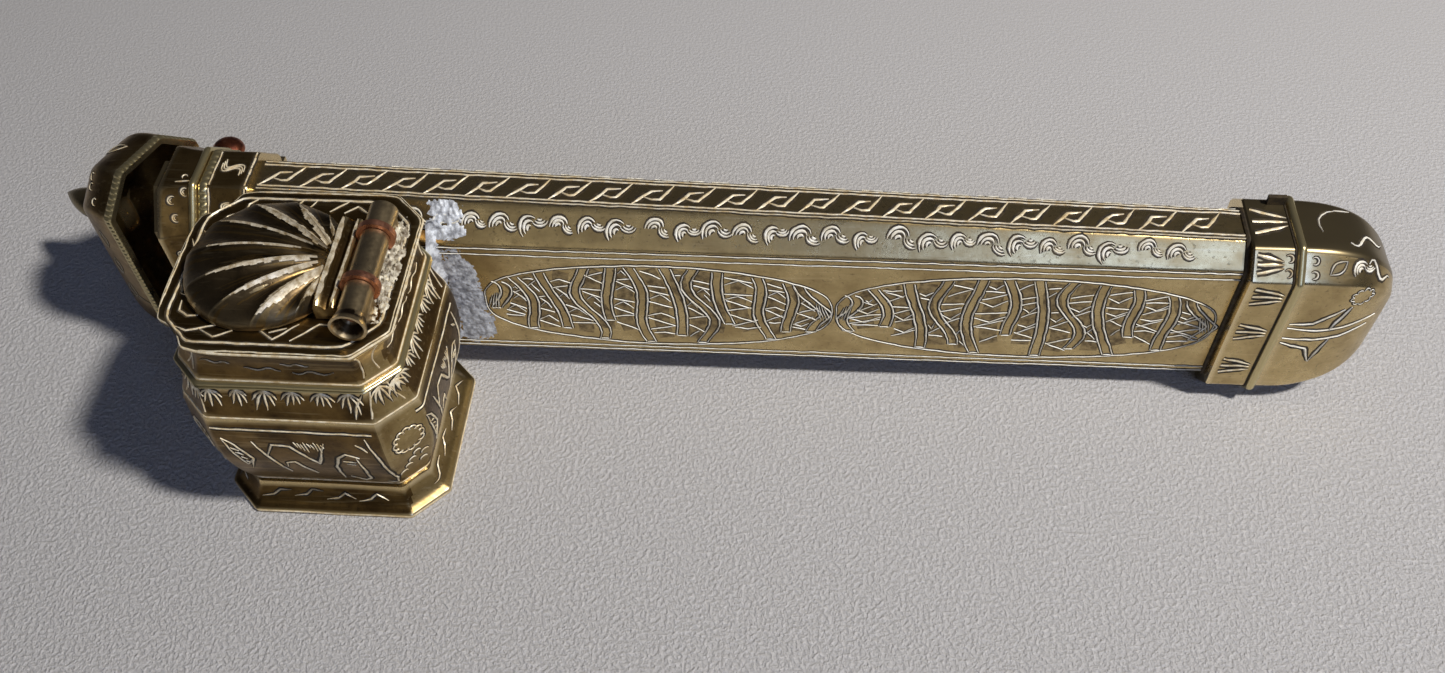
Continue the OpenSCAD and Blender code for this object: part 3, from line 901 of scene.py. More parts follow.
    @staticmethod
    def crescents(at: Flat, radius: float, count: int, bite: float) -> list[Stroke]:
        """Ring of crescent punches.

        Args:
            at: Middle of the ring.
            radius: Its radius.
            count: Number of crescents.
            bite: Radius of one crescent.

        Returns:
            The strokes.
        """
        strokes = []
        for k in range(count):
            a = 360 * k / count
            middle = (at[0] + radius * math.cos(math.radians(a)), at[1] + radius * math.sin(math.radians(a)))
            strokes.append(arc(middle, bite, a - 105, a + 105, 0.34))
        return strokes

    @staticmethod
    def leaf(at: Flat, length: float, width: float, turn: float, line_width: float = 0.4) -> list[Stroke]:
        """Almond leaf of two strokes.

        Args:
            at: Its middle.
            length: Its length.
            width: Its width.
            turn: Turn in degrees.
            line_width: Width of the strokes.

        Returns:
            The strokes.
        """
        sides = []
        for s in (-1, 1):
            bow = [(lerp(-length / 2, length / 2, k / 8), s * width / 2 * math.sin(math.pi * k / 8)) for k in range(9)]
            sides.append(Stroke(tuple(bow), line_width).turned(turn, at))
        return sides

    @staticmethod
    def wedges(at: Flat, length: float, spread: float, count: int, width: float = 0.9) -> list[Stroke]:
        """Group of wedge cuts that run together to the right.

        Args:
            at: Middle of the group.
            length: Length of a wedge.
            spread: Distance between the wedges at their wide ends.
            count: Number of wedges.
            width: Width of the wide end.

        Returns:
            The strokes.
        """
        middle = (count - 1) / 2
        return [line((-length / 2, (k - middle) * spread), (length / 2, (k - middle) * spread * 0.35),
                     width=width, start=0.8, end=0.12).turned(0, at) for k in range(count)]

    @staticmethod
    def waves(start: Flat, pitch: float, height: float, count: int) -> list[Stroke]:
        """Row of small bird-like waves.

        Args:
            start: Middle of the first.
            pitch: Distance between them.
            height: Height of one.
            count: Number of waves.

        Returns:
            The strokes.
        """
        return [line((-0.48 * pitch, -height * 0.5), (-0.12 * pitch, -height * 0.25), (0.08 * pitch, height * 0.45),
                     (0.42 * pitch, height * 0.5 * math.cos(k)), width=0.4, start=0.2, end=0.2)
                .turned(7 * math.sin(3 * k), (start[0] + k * pitch, start[1] + 0.3 * math.sin(2 * k)))
                for k in range(count)]


# ---------------------------------------------------------------- shared sizes


CUT_RATE = 2 - math.sqrt(2)
AXIS_X, AXIS_Y, AXIS_Z = Vector((1, 0, 0)), Vector((0, 1, 0)), Vector((0, 0, 1))


def mm_box(node: str) -> tuple[Vector, Vector]:
    """Lowest and highest corner of a CAD node in millimetres."""
    low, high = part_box(node)
    return low / MM, high / MM


def dome(t: float) -> float:
    """Width of a dome at the share t of its length, as a share of its rim's."""
    return (1 - t ** 2.5) ** 0.4


@dataclass(frozen=True)
class Section:
    """Cut-cornered section that stands across the case, in millimetres."""

    depth: float
    height: float
    cut: float
    middle: float

    def ring(self, x: float, axis_y: float, out: float = 0.0, scale: float = 1.0, soft: float = 0.55,
             side: int = 7) -> Ring:
        """Ring of the section.

        Args:
            x: Where it stands along the case.
            axis_y: The case's centreline.
            out: How far it is moved outwards.
            scale: Growth about its own middle.
            soft: Wear of its corners.
            side: Steps along each side.

        Returns:
            The ring's points.
        """
        flat = outline(self.depth * scale + 2 * out, self.height * scale + 2 * out,
                       self.cut * scale + CUT_RATE * out, soft, side)
        return [Vector((x, axis_y + p, self.middle + q)) for p, q in flat]

    def toward(self, other: "Section", t: float) -> "Section":
        """The section the share t of the way to another."""
        return Section(lerp(self.depth, other.depth, t), lerp(self.height, other.height, t),
                       lerp(self.cut, other.cut, t), lerp(self.middle, other.middle, t))

    def wider(self, flare: float) -> "Section":
        """The section with each side moved out."""
        return Section(self.depth + 2 * flare, self.height, self.cut, self.middle)

    def front(self, z: float) -> float | None:
        """How far the front lies before the centreline at height z, or None above and below it."""
        up = abs(z - self.middle)
        if up > self.height / 2:
            return None
        return self.depth / 2 - max(0.0, up - (self.height / 2 - self.cut))


@dataclass(frozen=True)
class CaseSizes:
    """Sizes that the pieces of the case share, in millimetres."""

    mouth_x: float
    butt_x: float
    axis_y: float
    mouth: Section = Section(22, 46, 7, 23.9)
    butt: Section = Section(16.5, 40, 4.3, 20.9)
    collar: Section = Section(23.8, 47.8, 7, 23.9)
    butt_collar: Section = Section(22.5, 41.8, 4.83, 20.9)
    cap: Section = Section(25.5, 47, 7, 23.9)
    collar_length: float = 17.5

    @classmethod
    def from_frame(cls) -> "CaseSizes":
        """Reads the case's place from the frame."""
        low, high = mm_box("pen_tube")
        return cls(low.x, high.x, (low.y + high.y) / 2)

    @property
    def length(self) -> float:
        """Length of the tube."""
        return self.butt_x - self.mouth_x

    def at(self, x: float) -> Section:
        """The tube's section at x."""
        return self.mouth.toward(self.butt, (x - self.mouth_x) / self.length)

    def front_y(self, x: float, z: float) -> float | None:
        """Y of the case's front at x and z, or None where it isn't there."""
        section = self.collar if x < self.mouth_x + self.collar_length + 0.3 else self.at(x)
        before = section.front(z)
        return None if before is None else self.axis_y - before


def slope_patch(start: Vector, end: Vector, across: Vector) -> Patch:
    """Patch that runs from one point to another."""
    return Patch(start, (end - start).normalized(), across.normalized())


def even(ring: Ring, axis: Vector, step: float) -> list[tuple[Vector, Vector]]:
    """Evenly spaced points round a closed ring, each with its outward direction.

    Args:
        ring: The ring.
        axis: Direction that the ring goes round.
        step: Distance between the points.

    Returns:
        Points and directions.
    """
    centre = sum(ring, Vector()) / len(ring)
    total = sum((ring[i] - ring[i - 1]).length for i in range(len(ring)))
    count = max(12, round(total / step))
    points, gone, i = [], 0.0, 0
    for k in range(count):
        want = total * k / count
        while gone + (ring[(i + 1) % len(ring)] - ring[i]).length < want:
            gone += (ring[(i + 1) % len(ring)] - ring[i]).length
            i += 1
        span = (ring[(i + 1) % len(ring)] - ring[i]).length
        points.append(ring[i].lerp(ring[(i + 1) % len(ring)], (want - gone) / max(span, 1e-9)))
    out = []
    for k, p in enumerate(points):
        normal = (points[(k + 2) % count] - points[k - 2]).cross(axis).normalized()
        out.append((p, normal if normal.dot(p - centre) > 0 else -normal))
    return out


def roped_band(ring: Ring, axis: Vector, width: float, proud: float, pitch: float, slant: float = 0.6,
               depth: float = 0.65, sink: float = 0.15) -> Form:
    """Band of twisted rope laid round a ring.

    Args:
        ring: The ring under the band's first edge.
        axis: Direction across the band.
        width: Width of the band.
        proud: Height of the rope.
        pitch: Distance between strands.
        slant: How far a strand leans across the band, in pitches.
        depth: How deep the cuts go, as a share of the height.
        sink: How far the band reaches under the surface.

    Returns:
        The band.
    """
    across = 6
    rings = []
    spots = even(ring, axis, pitch / 6)
    turns = round(len(spots) / 6)
    for k, (p, normal) in enumerate(spots):
        section = [p - normal * sink]
        for j in range(across + 1):
            share = j / across
            strand = abs(math.sin(math.pi * (turns * k / len(spots) + slant * share)))
            high = proud * (0.25 + 0.75 * math.sin(math.pi * share) ** 0.7) * (1 - depth * (1 - strand))
            section.append(p + axis * (width * share) + normal * high)
        section.append(p + axis * width - normal * sink)
        rings.append(section)
    form = Form()
    form.sheet(rings, [])
    return form


def half_round(rings_at: Callable[[float, float], Ring], x: float, radius: float, steps: int = 8) -> Form:
    """Half-round bead round a case.

    Args:
        rings_at: Gives the ring for a place and a shift outwards.
        x: Middle of the bead.
        radius: Its radius.
        steps: Steps over it.

    Returns:
        The bead.
    """
    outer = [rings_at(x - radius * math.cos(math.pi * s / steps), radius * math.sin(math.pi * s / steps))
             for s in range(steps + 1)]
    form = Form()
    form.sheet(outer, [rings_at(x - radius, -0.15), rings_at(x + radius, -0.15)])
    return form


def above_table(form: Form) -> Form:
    """The form worn flat where it would reach under the table."""
    return Form([Vector((p.x, p.y, max(p.z, 0.0))) for p in form.points], form.faces, form.marks)


# ---------------------------------------------------------------- pen case


@dataclass
class PenTube:
    """The long tapered tube with its engraved faces."""

    sizes: CaseSizes
    wall: float = 1.1
    stations: int = 44

    def build(self) -> None:
        """Makes the tube and its engraving."""
        s = self.sizes
        stops = [lerp(s.mouth_x, s.butt_x, k / self.stations) for k in range(self.stations + 1)]
        form = Form()
        form.sheet([s.at(x).ring(x, s.axis_y) for x in stops],
                   [s.at(x).ring(x, s.axis_y, -self.wall) for x in stops])
        form = form.worn(0.1, 17)
        # Painted shade: the faces below the lower chamfers' edge take the dark finish, standing in for the shade under
        # the tube.
        form.tarnish(lambda p: p.z < s.at(p.x).middle - s.at(p.x).height / 2 + s.at(p.x).cut - 0.3)
        form.make("tube", "case", [Finish.CASE, Finish.DARK], ("pen_tube",))
        self.engrave_top(form)
        self.engrave_chamfers(form)
        self.engrave_sides(form)

    def _edge(self, x: float, side: int) -> tuple[Vector, Vector, Vector]:
        """Middles of the top face, a chamfer and a side face at x.

        Args:
            x: Place along the case.
            side: -1 for the front, 1 for the back.

        Returns:
            The three points.
        """
        s = self.sizes
        c = s.at(x)
        top = Vector((x, s.axis_y, c.middle + c.height / 2))
        chamfer = Vector((x, s.axis_y + side * (c.depth - c.cut) / 2, c.middle + (c.height - c.cut) / 2))
        face = Vector((x, s.axis_y + side * c.depth / 2, c.middle))
        return top, chamfer, face

    def engrave_top(self, form: Form) -> None:
        """Row of keys along the narrow top."""
        s = self.sizes
        start, end = s.mouth_x + s.collar_length + 1.2, s.butt_x - 9.6
        patch = slope_patch(self._edge(start, -1)[0], self._edge(end, -1)[0], AXIS_Y)
        graver = Engraver(form)
        graver.cut(patch, [t.bolder(1.15) for t in Ornament.key_row(end - start, 8.15, 2.85)], 0.16, 1.9)
        graver.make("top_keys", "case")

    def engrave_chamfers(self, form: Form) -> None:
        """Rows of struck curls along both upper chamfers."""
        s = self.sizes
        start, end = s.mouth_x + s.collar_length + 3.0, s.butt_x - 10.5
        for side, size, name in ((-1, 1.0, "front_curls"), (1, 0.7, "back_curls")):
            across = Vector((0, -side, 1))
            a, b = self._edge(start, side)[1], self._edge(end, side)[1]
            patch = slope_patch(a, b, across) if side < 0 else slope_patch(b, a, across)
            graver = Engraver(form)
            pitch = 5.72
            for k in range(int((end - start - 6) / pitch)):
                spot = (k * pitch + 1.6 * ((k + 3) // 8), 0.25 + 0.3 * math.sin(3.1 * k))
                graver.cut(patch, Ornament.curl(spot, size * (0.96 + 0.12 * math.sin(4.3 * k)), 26 * math.sin(2.3 * k) - 12),
                           0.16, 1.7)
            graver.make(name, "case", Finish.CUT_PALE)

    def engrave_sides(self, form: Form) -> None:
        """Border lines and two long cartouches on both wide sides."""
        s = self.sizes
        start, end = s.mouth_x + s.collar_length + 1.0, s.butt_x - 9.6
        for side, name in ((-1, "front_cartouches"), (1, "back_cartouches")):
            a, b = self._edge(start, side)[2], self._edge(end, side)[2]
            patch = slope_patch(a, b, AXIS_Z) if side < 0 else slope_patch(b, a, AXIS_Z)
            length = end - start
            graver = Engraver(form)
            borders = [line((0, v), (length, v), width=w, start=1, end=1)
                       for v, w in ((15.2, 0.42), (13.5, 0.36), (-15.2, 0.42), (-14.0, 0.34))]
            graver.cut(patch, borders, 0.13, 1.6)
            inset = 43.0 if side < 0 else 30.0
            split = inset + 71.3
            for left, right, seed in ((inset, split - 0.4, 1.0), (split + 0.4, length - 1.4, 4.0)):
                drawn = [t.turned(0, (left, -0.6)) for t in Ornament.cartouche(right - left, 12.3, seed)]
                graver.cut(patch, [t for t in drawn if t.width < 1], 0.15, 1.9)
                graver.stipple(patch, [t for t in drawn if t.width >= 1])
            graver.make(name, "case", Finish.CUT_PALE)


@dataclass
class MouthCollar:
    """The flared collar at the mouth, with its bead and roped band."""

    sizes: CaseSizes
    flare: float = 1.25
    lip: float = 6.0
    bead_radius: float = 0.8
    rope_width: float = 1.6
    rope_proud: float = 0.42

    def _ring(self, x: float, out: float = 0.0) -> Ring:
        """Ring of the collar's outside, the lip's flare included."""
        s = self.sizes
        t = max(0.0, 1 - (x - s.mouth_x) / self.lip)
        return s.collar.wider(self.flare * min(1.0, t) ** 1.6).ring(x, s.axis_y, out, soft=0.6)

    def build(self) -> None:
        """Makes the collar and what is on it."""
        s = self.sizes
        x0, x1 = s.mouth_x, s.mouth_x + s.collar_length
        stops = [x0 + d for d in (0, 0.5, 1.2, 2.2, 3.4, 4.8, 6, 8, 10, 12, 14, 16, 17.1, 17.5)]
        outs = [-0.25, 0.0] + [0.0] * 10 + [0.0, -0.25]
        form = Form()
        form.sheet([self._ring(x, o) for x, o in zip(stops, outs)],
                   [s.at(x).ring(x, s.axis_y, 0.02) for x in stops])
        form = form.worn(0.1, 13)
        form.make("mouth_collar_sheet", "case", [Finish.COLLAR], ("mouth_collar",))
        bead_x = x0 + self.lip + self.bead_radius
        above_table(half_round(self._ring, bead_x, self.bead_radius).worn(0.06, 6)).make(
            "mouth_bead_ring", "case", [Finish.BRIGHT], ("mouth_bead",))
        rope_x = bead_x + self.bead_radius + 0.4
        rope = roped_band(self._ring(rope_x), AXIS_X, self.rope_width, self.rope_proud, 1.5, 0.2, 0.8)
        above_table(rope).make("mouth_rope", "case", [Finish.BRIGHT], ("mouth_rope_band",))
        dress(Finish.DARK, "mouth_neck")
        self.engrave(form, rope_x + self.rope_width, x1)

    def engrave(self, form: Form, panel: float, end: float) -> None:
        """Punches on the lip and scrolls on the panel behind the band."""
        s = self.sizes
        c = s.collar
        top = Patch(Vector((0, s.axis_y, c.middle + c.height / 2)), AXIS_X, AXIS_Y)
        corner = Vector((0, s.axis_y - (c.depth - c.cut) / 2, c.middle + (c.height - c.cut) / 2))
        chamfer = Patch(corner, AXIS_X, Vector((0, 1, 1)).normalized())
        front = Patch(Vector((0, s.axis_y - c.depth / 2, c.middle)), AXIS_X, AXIS_Z)
        back = Patch(Vector((0, s.axis_y + c.depth / 2, c.middle)), -AXIS_X, AXIS_Z)
        middle = (panel + end) / 2 - 0.2
        lip_x = s.mouth_x + 2.6
        graver = Engraver(form)
        graver.cut(top, Ornament.s_scroll((middle, 0.2), 0.95, -32), 0.16)
        graver.cut(top, [arc((lip_x + 1.9, -2.6), 0.55, 20, 230, 0.5),
                         line((lip_x + 0.5, -4.1), (lip_x + 3.2, -3.7), width=0.5)], 0.14)
        graver.cut(chamfer, Ornament.s_scroll((middle, -0.4), 0.85, 64), 0.16)
        for u, v in ((lip_x + 0.2, 1.9), (lip_x + 0.9, -1.6), (lip_x + 2.6, 3.6)):
            graver.cut(chamfer, [arc((u, v), 0.75, 60, 300, 0.55), arc((u, v), 0.35, 90, 270, 0.4)], 0.15)
        for k in range(5):
            graver.cut(front, Ornament.s_scroll((middle, 12 - 6 * k), 0.62, 90), 0.12)
            graver.cut(front, [arc((lip_x + 0.4, 12 - 6 * k), 0.8, 60, 300, 0.45)], 0.12)
            graver.cut(back, [arc((-lip_x - 0.4, 12 - 6 * k), 0.8, -120, 120, 0.45)], 0.12)
        for patch, half in ((top, 4.6), (chamfer, 4.6), (front, 16)):
            for x in (panel + 0.35, end - 0.45):
                graver.cut(patch, [line((x, -half), (x, half), width=0.6, start=1, end=1)], 0.12, 1.5)
        graver.make("mouth_punches", "case")


@dataclass
class ButtEnd:
    """The thick collar, bead and domed cap that close the far end."""

    sizes: CaseSizes
    collar_length: float = 9.0
    cap_length: float = 23.0
    bead_radius: float = 0.9
    wall: float = 1.2

    def build(self) -> None:
        """Makes the collar, the bead, the cap and their engraving."""
        s = self.sizes
        end, start = s.butt_x, s.butt_x - self.collar_length
        stops = [start, start + 0.35, start + 1.2, start + 3.5, start + 6, start + 8.2, end]
        form = Form()
        form.sheet([s.butt_collar.ring(x, s.axis_y, -0.3 if x == start else 0.0) for x in stops],
                   [s.at(x).ring(x, s.axis_y, 0.02) for x in stops])
        collar = form.worn(0.1, 11)
        under = s.butt_collar.cut - 0.3
        over = s.butt_collar.middle + s.butt_collar.height / 2 - 0.3
        # Painted shade and painted reflection: the collar's underside takes the dark finish for the shade under it, and
        # its top for the dark room that it mirrors.
        collar.tarnish(lambda p: p.z < under or p.z > over)
        collar.make("butt_collar_sheet", "case", [Finish.CASE, Finish.DARK], ("butt_collar",))
        # Painted shadow: near-black rings round the tube at the collar's left edge and round the collar along the
        # bead's left, where those edges cast shade.
        dark_fill = half_round(lambda x, out: s.at(x).ring(x, s.axis_y, out), start - 0.3, 0.55, 4)
        second = half_round(lambda x, out: s.butt_collar.ring(x, s.axis_y, out), end - self.bead_radius - 0.2, 0.22, 4)
        dark_fill.add(second.points, second.faces)
        above_table(dark_fill).make("butt_painted_shadow", "case", [Finish.DIRT])
        bead = half_round(lambda x, out: s.butt_collar.ring(x, s.axis_y, out), end, self.bead_radius)
        above_table(bead.worn(0.05, 6)).make("butt_bead_ring", "case", [Finish.BRIGHT], ("butt_bead",))
        shares = [0.985 * math.sin(math.pi / 2 * k / 22) ** 0.9 for k in range(23)]
        cap = Form()
        cap.solid([s.butt_collar.ring(end + self.cap_length * t, s.axis_y, 0, dome(t), 0.7) for t in shares])
        cap = cap.worn(0.14, 12)
        # Painted shade and painted reflection: the dome's underside and its crown take the dark finish, for the shade
        # under it and the dark room mirrored on top.
        cap.tarnish(lambda p: p.z < under or p.z > s.butt_collar.middle - 0.5 + s.butt_collar.height / 2 * dome(
            max(0.0, (p.x - end) / self.cap_length)))
        cap.make("butt_dome", "case", [Finish.CASE, Finish.DARK], ("butt_cap",), 60)
        # Painted shade: the tab takes the near-black finish, darker than its brass.
        dress(Finish.DIRT, "butt_tab")
        self.engrave(collar, cap, start, end)

    def engrave(self, collar: Form, cap: Form, start: float, end: float) -> None:
        """Wedges on the collar; curls, waves and a crossed leaf on the dome."""
        s = self.sizes
        c = s.butt_collar
        high, half_d, half_h = c.middle + c.height / 2, c.depth / 2, c.height / 2
        across = Vector((0, 1, 1)).normalized()
        corner = Vector((0, s.axis_y - half_d + c.cut / 2, high - c.cut / 2))
        top = Patch(Vector((0, s.axis_y, high)), AXIS_X, AXIS_Y)
        chamfer = Patch(corner, AXIS_X, across)
        front = Patch(Vector((0, s.axis_y - half_d, c.middle)), AXIS_X, AXIS_Z)
        back = Patch(Vector((0, s.axis_y + half_d, c.middle)), -AXIS_X, AXIS_Z)
        middle = start + self.collar_length / 2 - 0.3
        graver = Engraver(collar)
        graver.cut(top, Ornament.wedges((middle, 0.4), 6.6, 3.1, 3, 1.0), 0.15)
        graver.cut(chamfer, Ornament.wedges((middle - 0.8, 0.2), 5.0, 1.8, 3, 0.85), 0.16)
        graver.cut(chamfer, [arc((end - 2.2, v), 0.75, -100, 150, 0.45) for v in (1.5, -1.4)], 0.13)
        for v in (12.2, 1.5, -9.5):
            graver.cut(front, Ornament.wedges((middle, v), 5.8, 2.2, 3, 0.85), 0.15)
            graver.cut(back, Ornament.wedges((-middle, v), 5.4, 2.0, 3, 0.65), 0.12)
        graver.make("butt_wedges", "case")
        graver = Engraver(cap)
        graver.cut(top, [arc((end + 8.6, 0.2), 4.1, 95, 205, 0.5),
                         line((end + 8.2, 4.4), (end + 11.6, 5.1), width=0.4),
                         Stroke(tuple((end + 10.0 + 0.7 * k, -3.4 + 0.36 * k - 1.1 * math.sin(0.8 * k))
                                      for k in range(12)), 0.75),
                         Stroke(tuple((end + 13.4 + 0.6 * k, -6.6 + 0.9 * math.sin(0.9 * k)) for k in range(10)), 0.7)],
                   0.14)
        graver.cut(chamfer, Ornament.leaf((end + 7.2, 0), 4.2, 2.0, 40)
                   + Ornament.curl((end + 12.6, 0.1), 0.8)
                   + [arc((end + 2.6, v), 0.7, -120, 140, 0.45) for v in (1.2, -1.5)], 0.12)
        foot = end + 1.6
        graver.cut(front, [
            line((foot, 4.4), (foot + 4.5, 4.6), (foot + 9.6, 8.6), width=0.75),
            line((foot, 3.2), (foot + 6, 2.4), (foot + 11, 2.8), (foot + 17, 5.0), width=0.65),
            line((foot, 0.2), (foot + 6, -0.4), (foot + 11, 0.0), (foot + 16, 2.6), width=0.65),
            line((foot, -1.2), (foot + 5.5, -3.2), (foot + 7.2, -7.4), width=0.75),
            line((foot + 7.4, -7.6), (foot + 9.4, -0.6), width=0.7),
            line((foot + 8.4, 2.6), (foot + 10.8, 9.2), width=0.8)], 0.16)
        graver.cut(front, Ornament.crescents((end + 13.4, 12.0), 1.7, 9, 0.5), 0.1)
        graver.make("butt_cuts", "case", Finish.CUT_PALE)


@dataclass
class Cap:
    """The hinged domed cap with its roped rim and finial, standing part open."""

    sizes: CaseSizes
    gap: float = 0.6
    length: float = 16.5
    wall: float = 1.2
    open_degrees: float = 23.0
    rope_width: float = 1.8

    def _turn(self) -> Matrix:
        """The cap's turn about its hinge."""
        low, high = mm_box("cap_hinge_pin")
        pin = Vector(((low.x + high.x) / 2, (low.y + high.y) / 2, 0))
        turn = Matrix.Rotation(math.radians(-self.open_degrees), 4, "Z")
        return Matrix.Translation(pin) @ turn @ Matrix.Translation(-pin)

    def build(self) -> None:
        """Makes the cap's shell and rim, and dresses its hinge and finial."""
        s, turn = self.sizes, self._turn()
        rim = s.mouth_x - self.gap
        tip = 0.99
        shares = [tip * math.sin(math.pi / 2 * k / 22) ** 0.9 for k in range(23)]
        form = Form()
        form.sheet([s.cap.ring(rim - self.length * t, s.axis_y, 0, dome(t), 0.9) for t in shares],
                   [s.cap.ring(rim - (self.length - self.wall) * t, s.axis_y, -self.wall, dome(t), 0.5)
                    for t in shares])
        outer_end = [s.cap.ring(rim - self.length * tip, s.axis_y, 0, dome(tip) * k, 0.5) for k in (1.0, 0.05)]
        inner_end = [s.cap.ring(rim - self.length * 0.94, s.axis_y, 0, dome(tip) * k, 0.5) for k in (1.0, 0.05)]
        form.sheet(outer_end, inner_end)
        form = form.worn(0.14, 12)
        placed = form.moved(turn)
        placed.make("cap_dome", "cap", [Finish.COLLAR], ("cap_shell",), 60)
        rope = roped_band(s.cap.ring(rim - self.rope_width, s.axis_y), AXIS_X, self.rope_width, 0.42, 1.15, 0.15, 0.8)
        rope.moved(turn).make("cap_rope", "cap", [Finish.BRIGHT], ("cap_rope_rim",))
        dress(Finish.COLLAR, "cap_hinge_knuckle")
        dress(Finish.DARK, "finial_bead", "finial_bud", bevel_mm=0.1)
        self.engrave(form, turn, rim)

    def engrave(self, form: Form, turn: Matrix, rim: float) -> None:
        """A leaf on the crown and punches on the corner, cut before the cap is turned."""
        s = self.sizes
        c = s.cap
        top = Patch(Vector((0, s.axis_y, c.middle + c.height / 2)), AXIS_X, AXIS_Y)
        corner = Vector((0, s.axis_y - (c.depth - c.cut) / 2, c.middle + (c.height - c.cut) / 2))
        chamfer = Patch(corner, AXIS_X, Vector((0, 1, 1)).normalized())
        front = Patch(Vector((0, s.axis_y - c.depth / 2, c.middle)), AXIS_X, AXIS_Z)
        graver = Engraver(form)
        graver.cut(top, Ornament.leaf((rim - 8.2, 0.4), 6.2, 2.0, 12, 0.45), 0.13)
        graver.cut(chamfer, [arc((rim - 8.6, 1.9), 0.75, 60, 290, 0.5), arc((rim - 8.0, -0.1), 0.75, 60, 290, 0.5),
                             arc((rim - 5.6, -2.6), 0.75, 60, 290, 0.5)], 0.13)
        graver.cut(front, [line((rim - 11.5, -13), (rim - 5.6, -9.4), (rim - 2.2, -9.9), width=0.4)], 0.06)
        for v in (8, 0, -8):
            graver.cut(front, Ornament.leaf((rim - 6.5, v), 5.0, 1.8, 90, 0.35), 0.08)
        graver.form = graver.form.moved(turn)
        graver.make("cap_punches", "cap")


@dataclass
class CapHinge:
    """The leaf, pin and copper heads of the cap's hinge, dressed as they are."""

    def build(self) -> None:
        """Dresses the CAD nodes."""
        dress(Finish.COLLAR, "case_hinge_leaf", bevel_mm=0.3)
        dress(Finish.COPPER, "cap_hinge_pin", "cap_pin_heads", bevel_mm=0.1)


# ---------------------------------------------------------------- inkwell


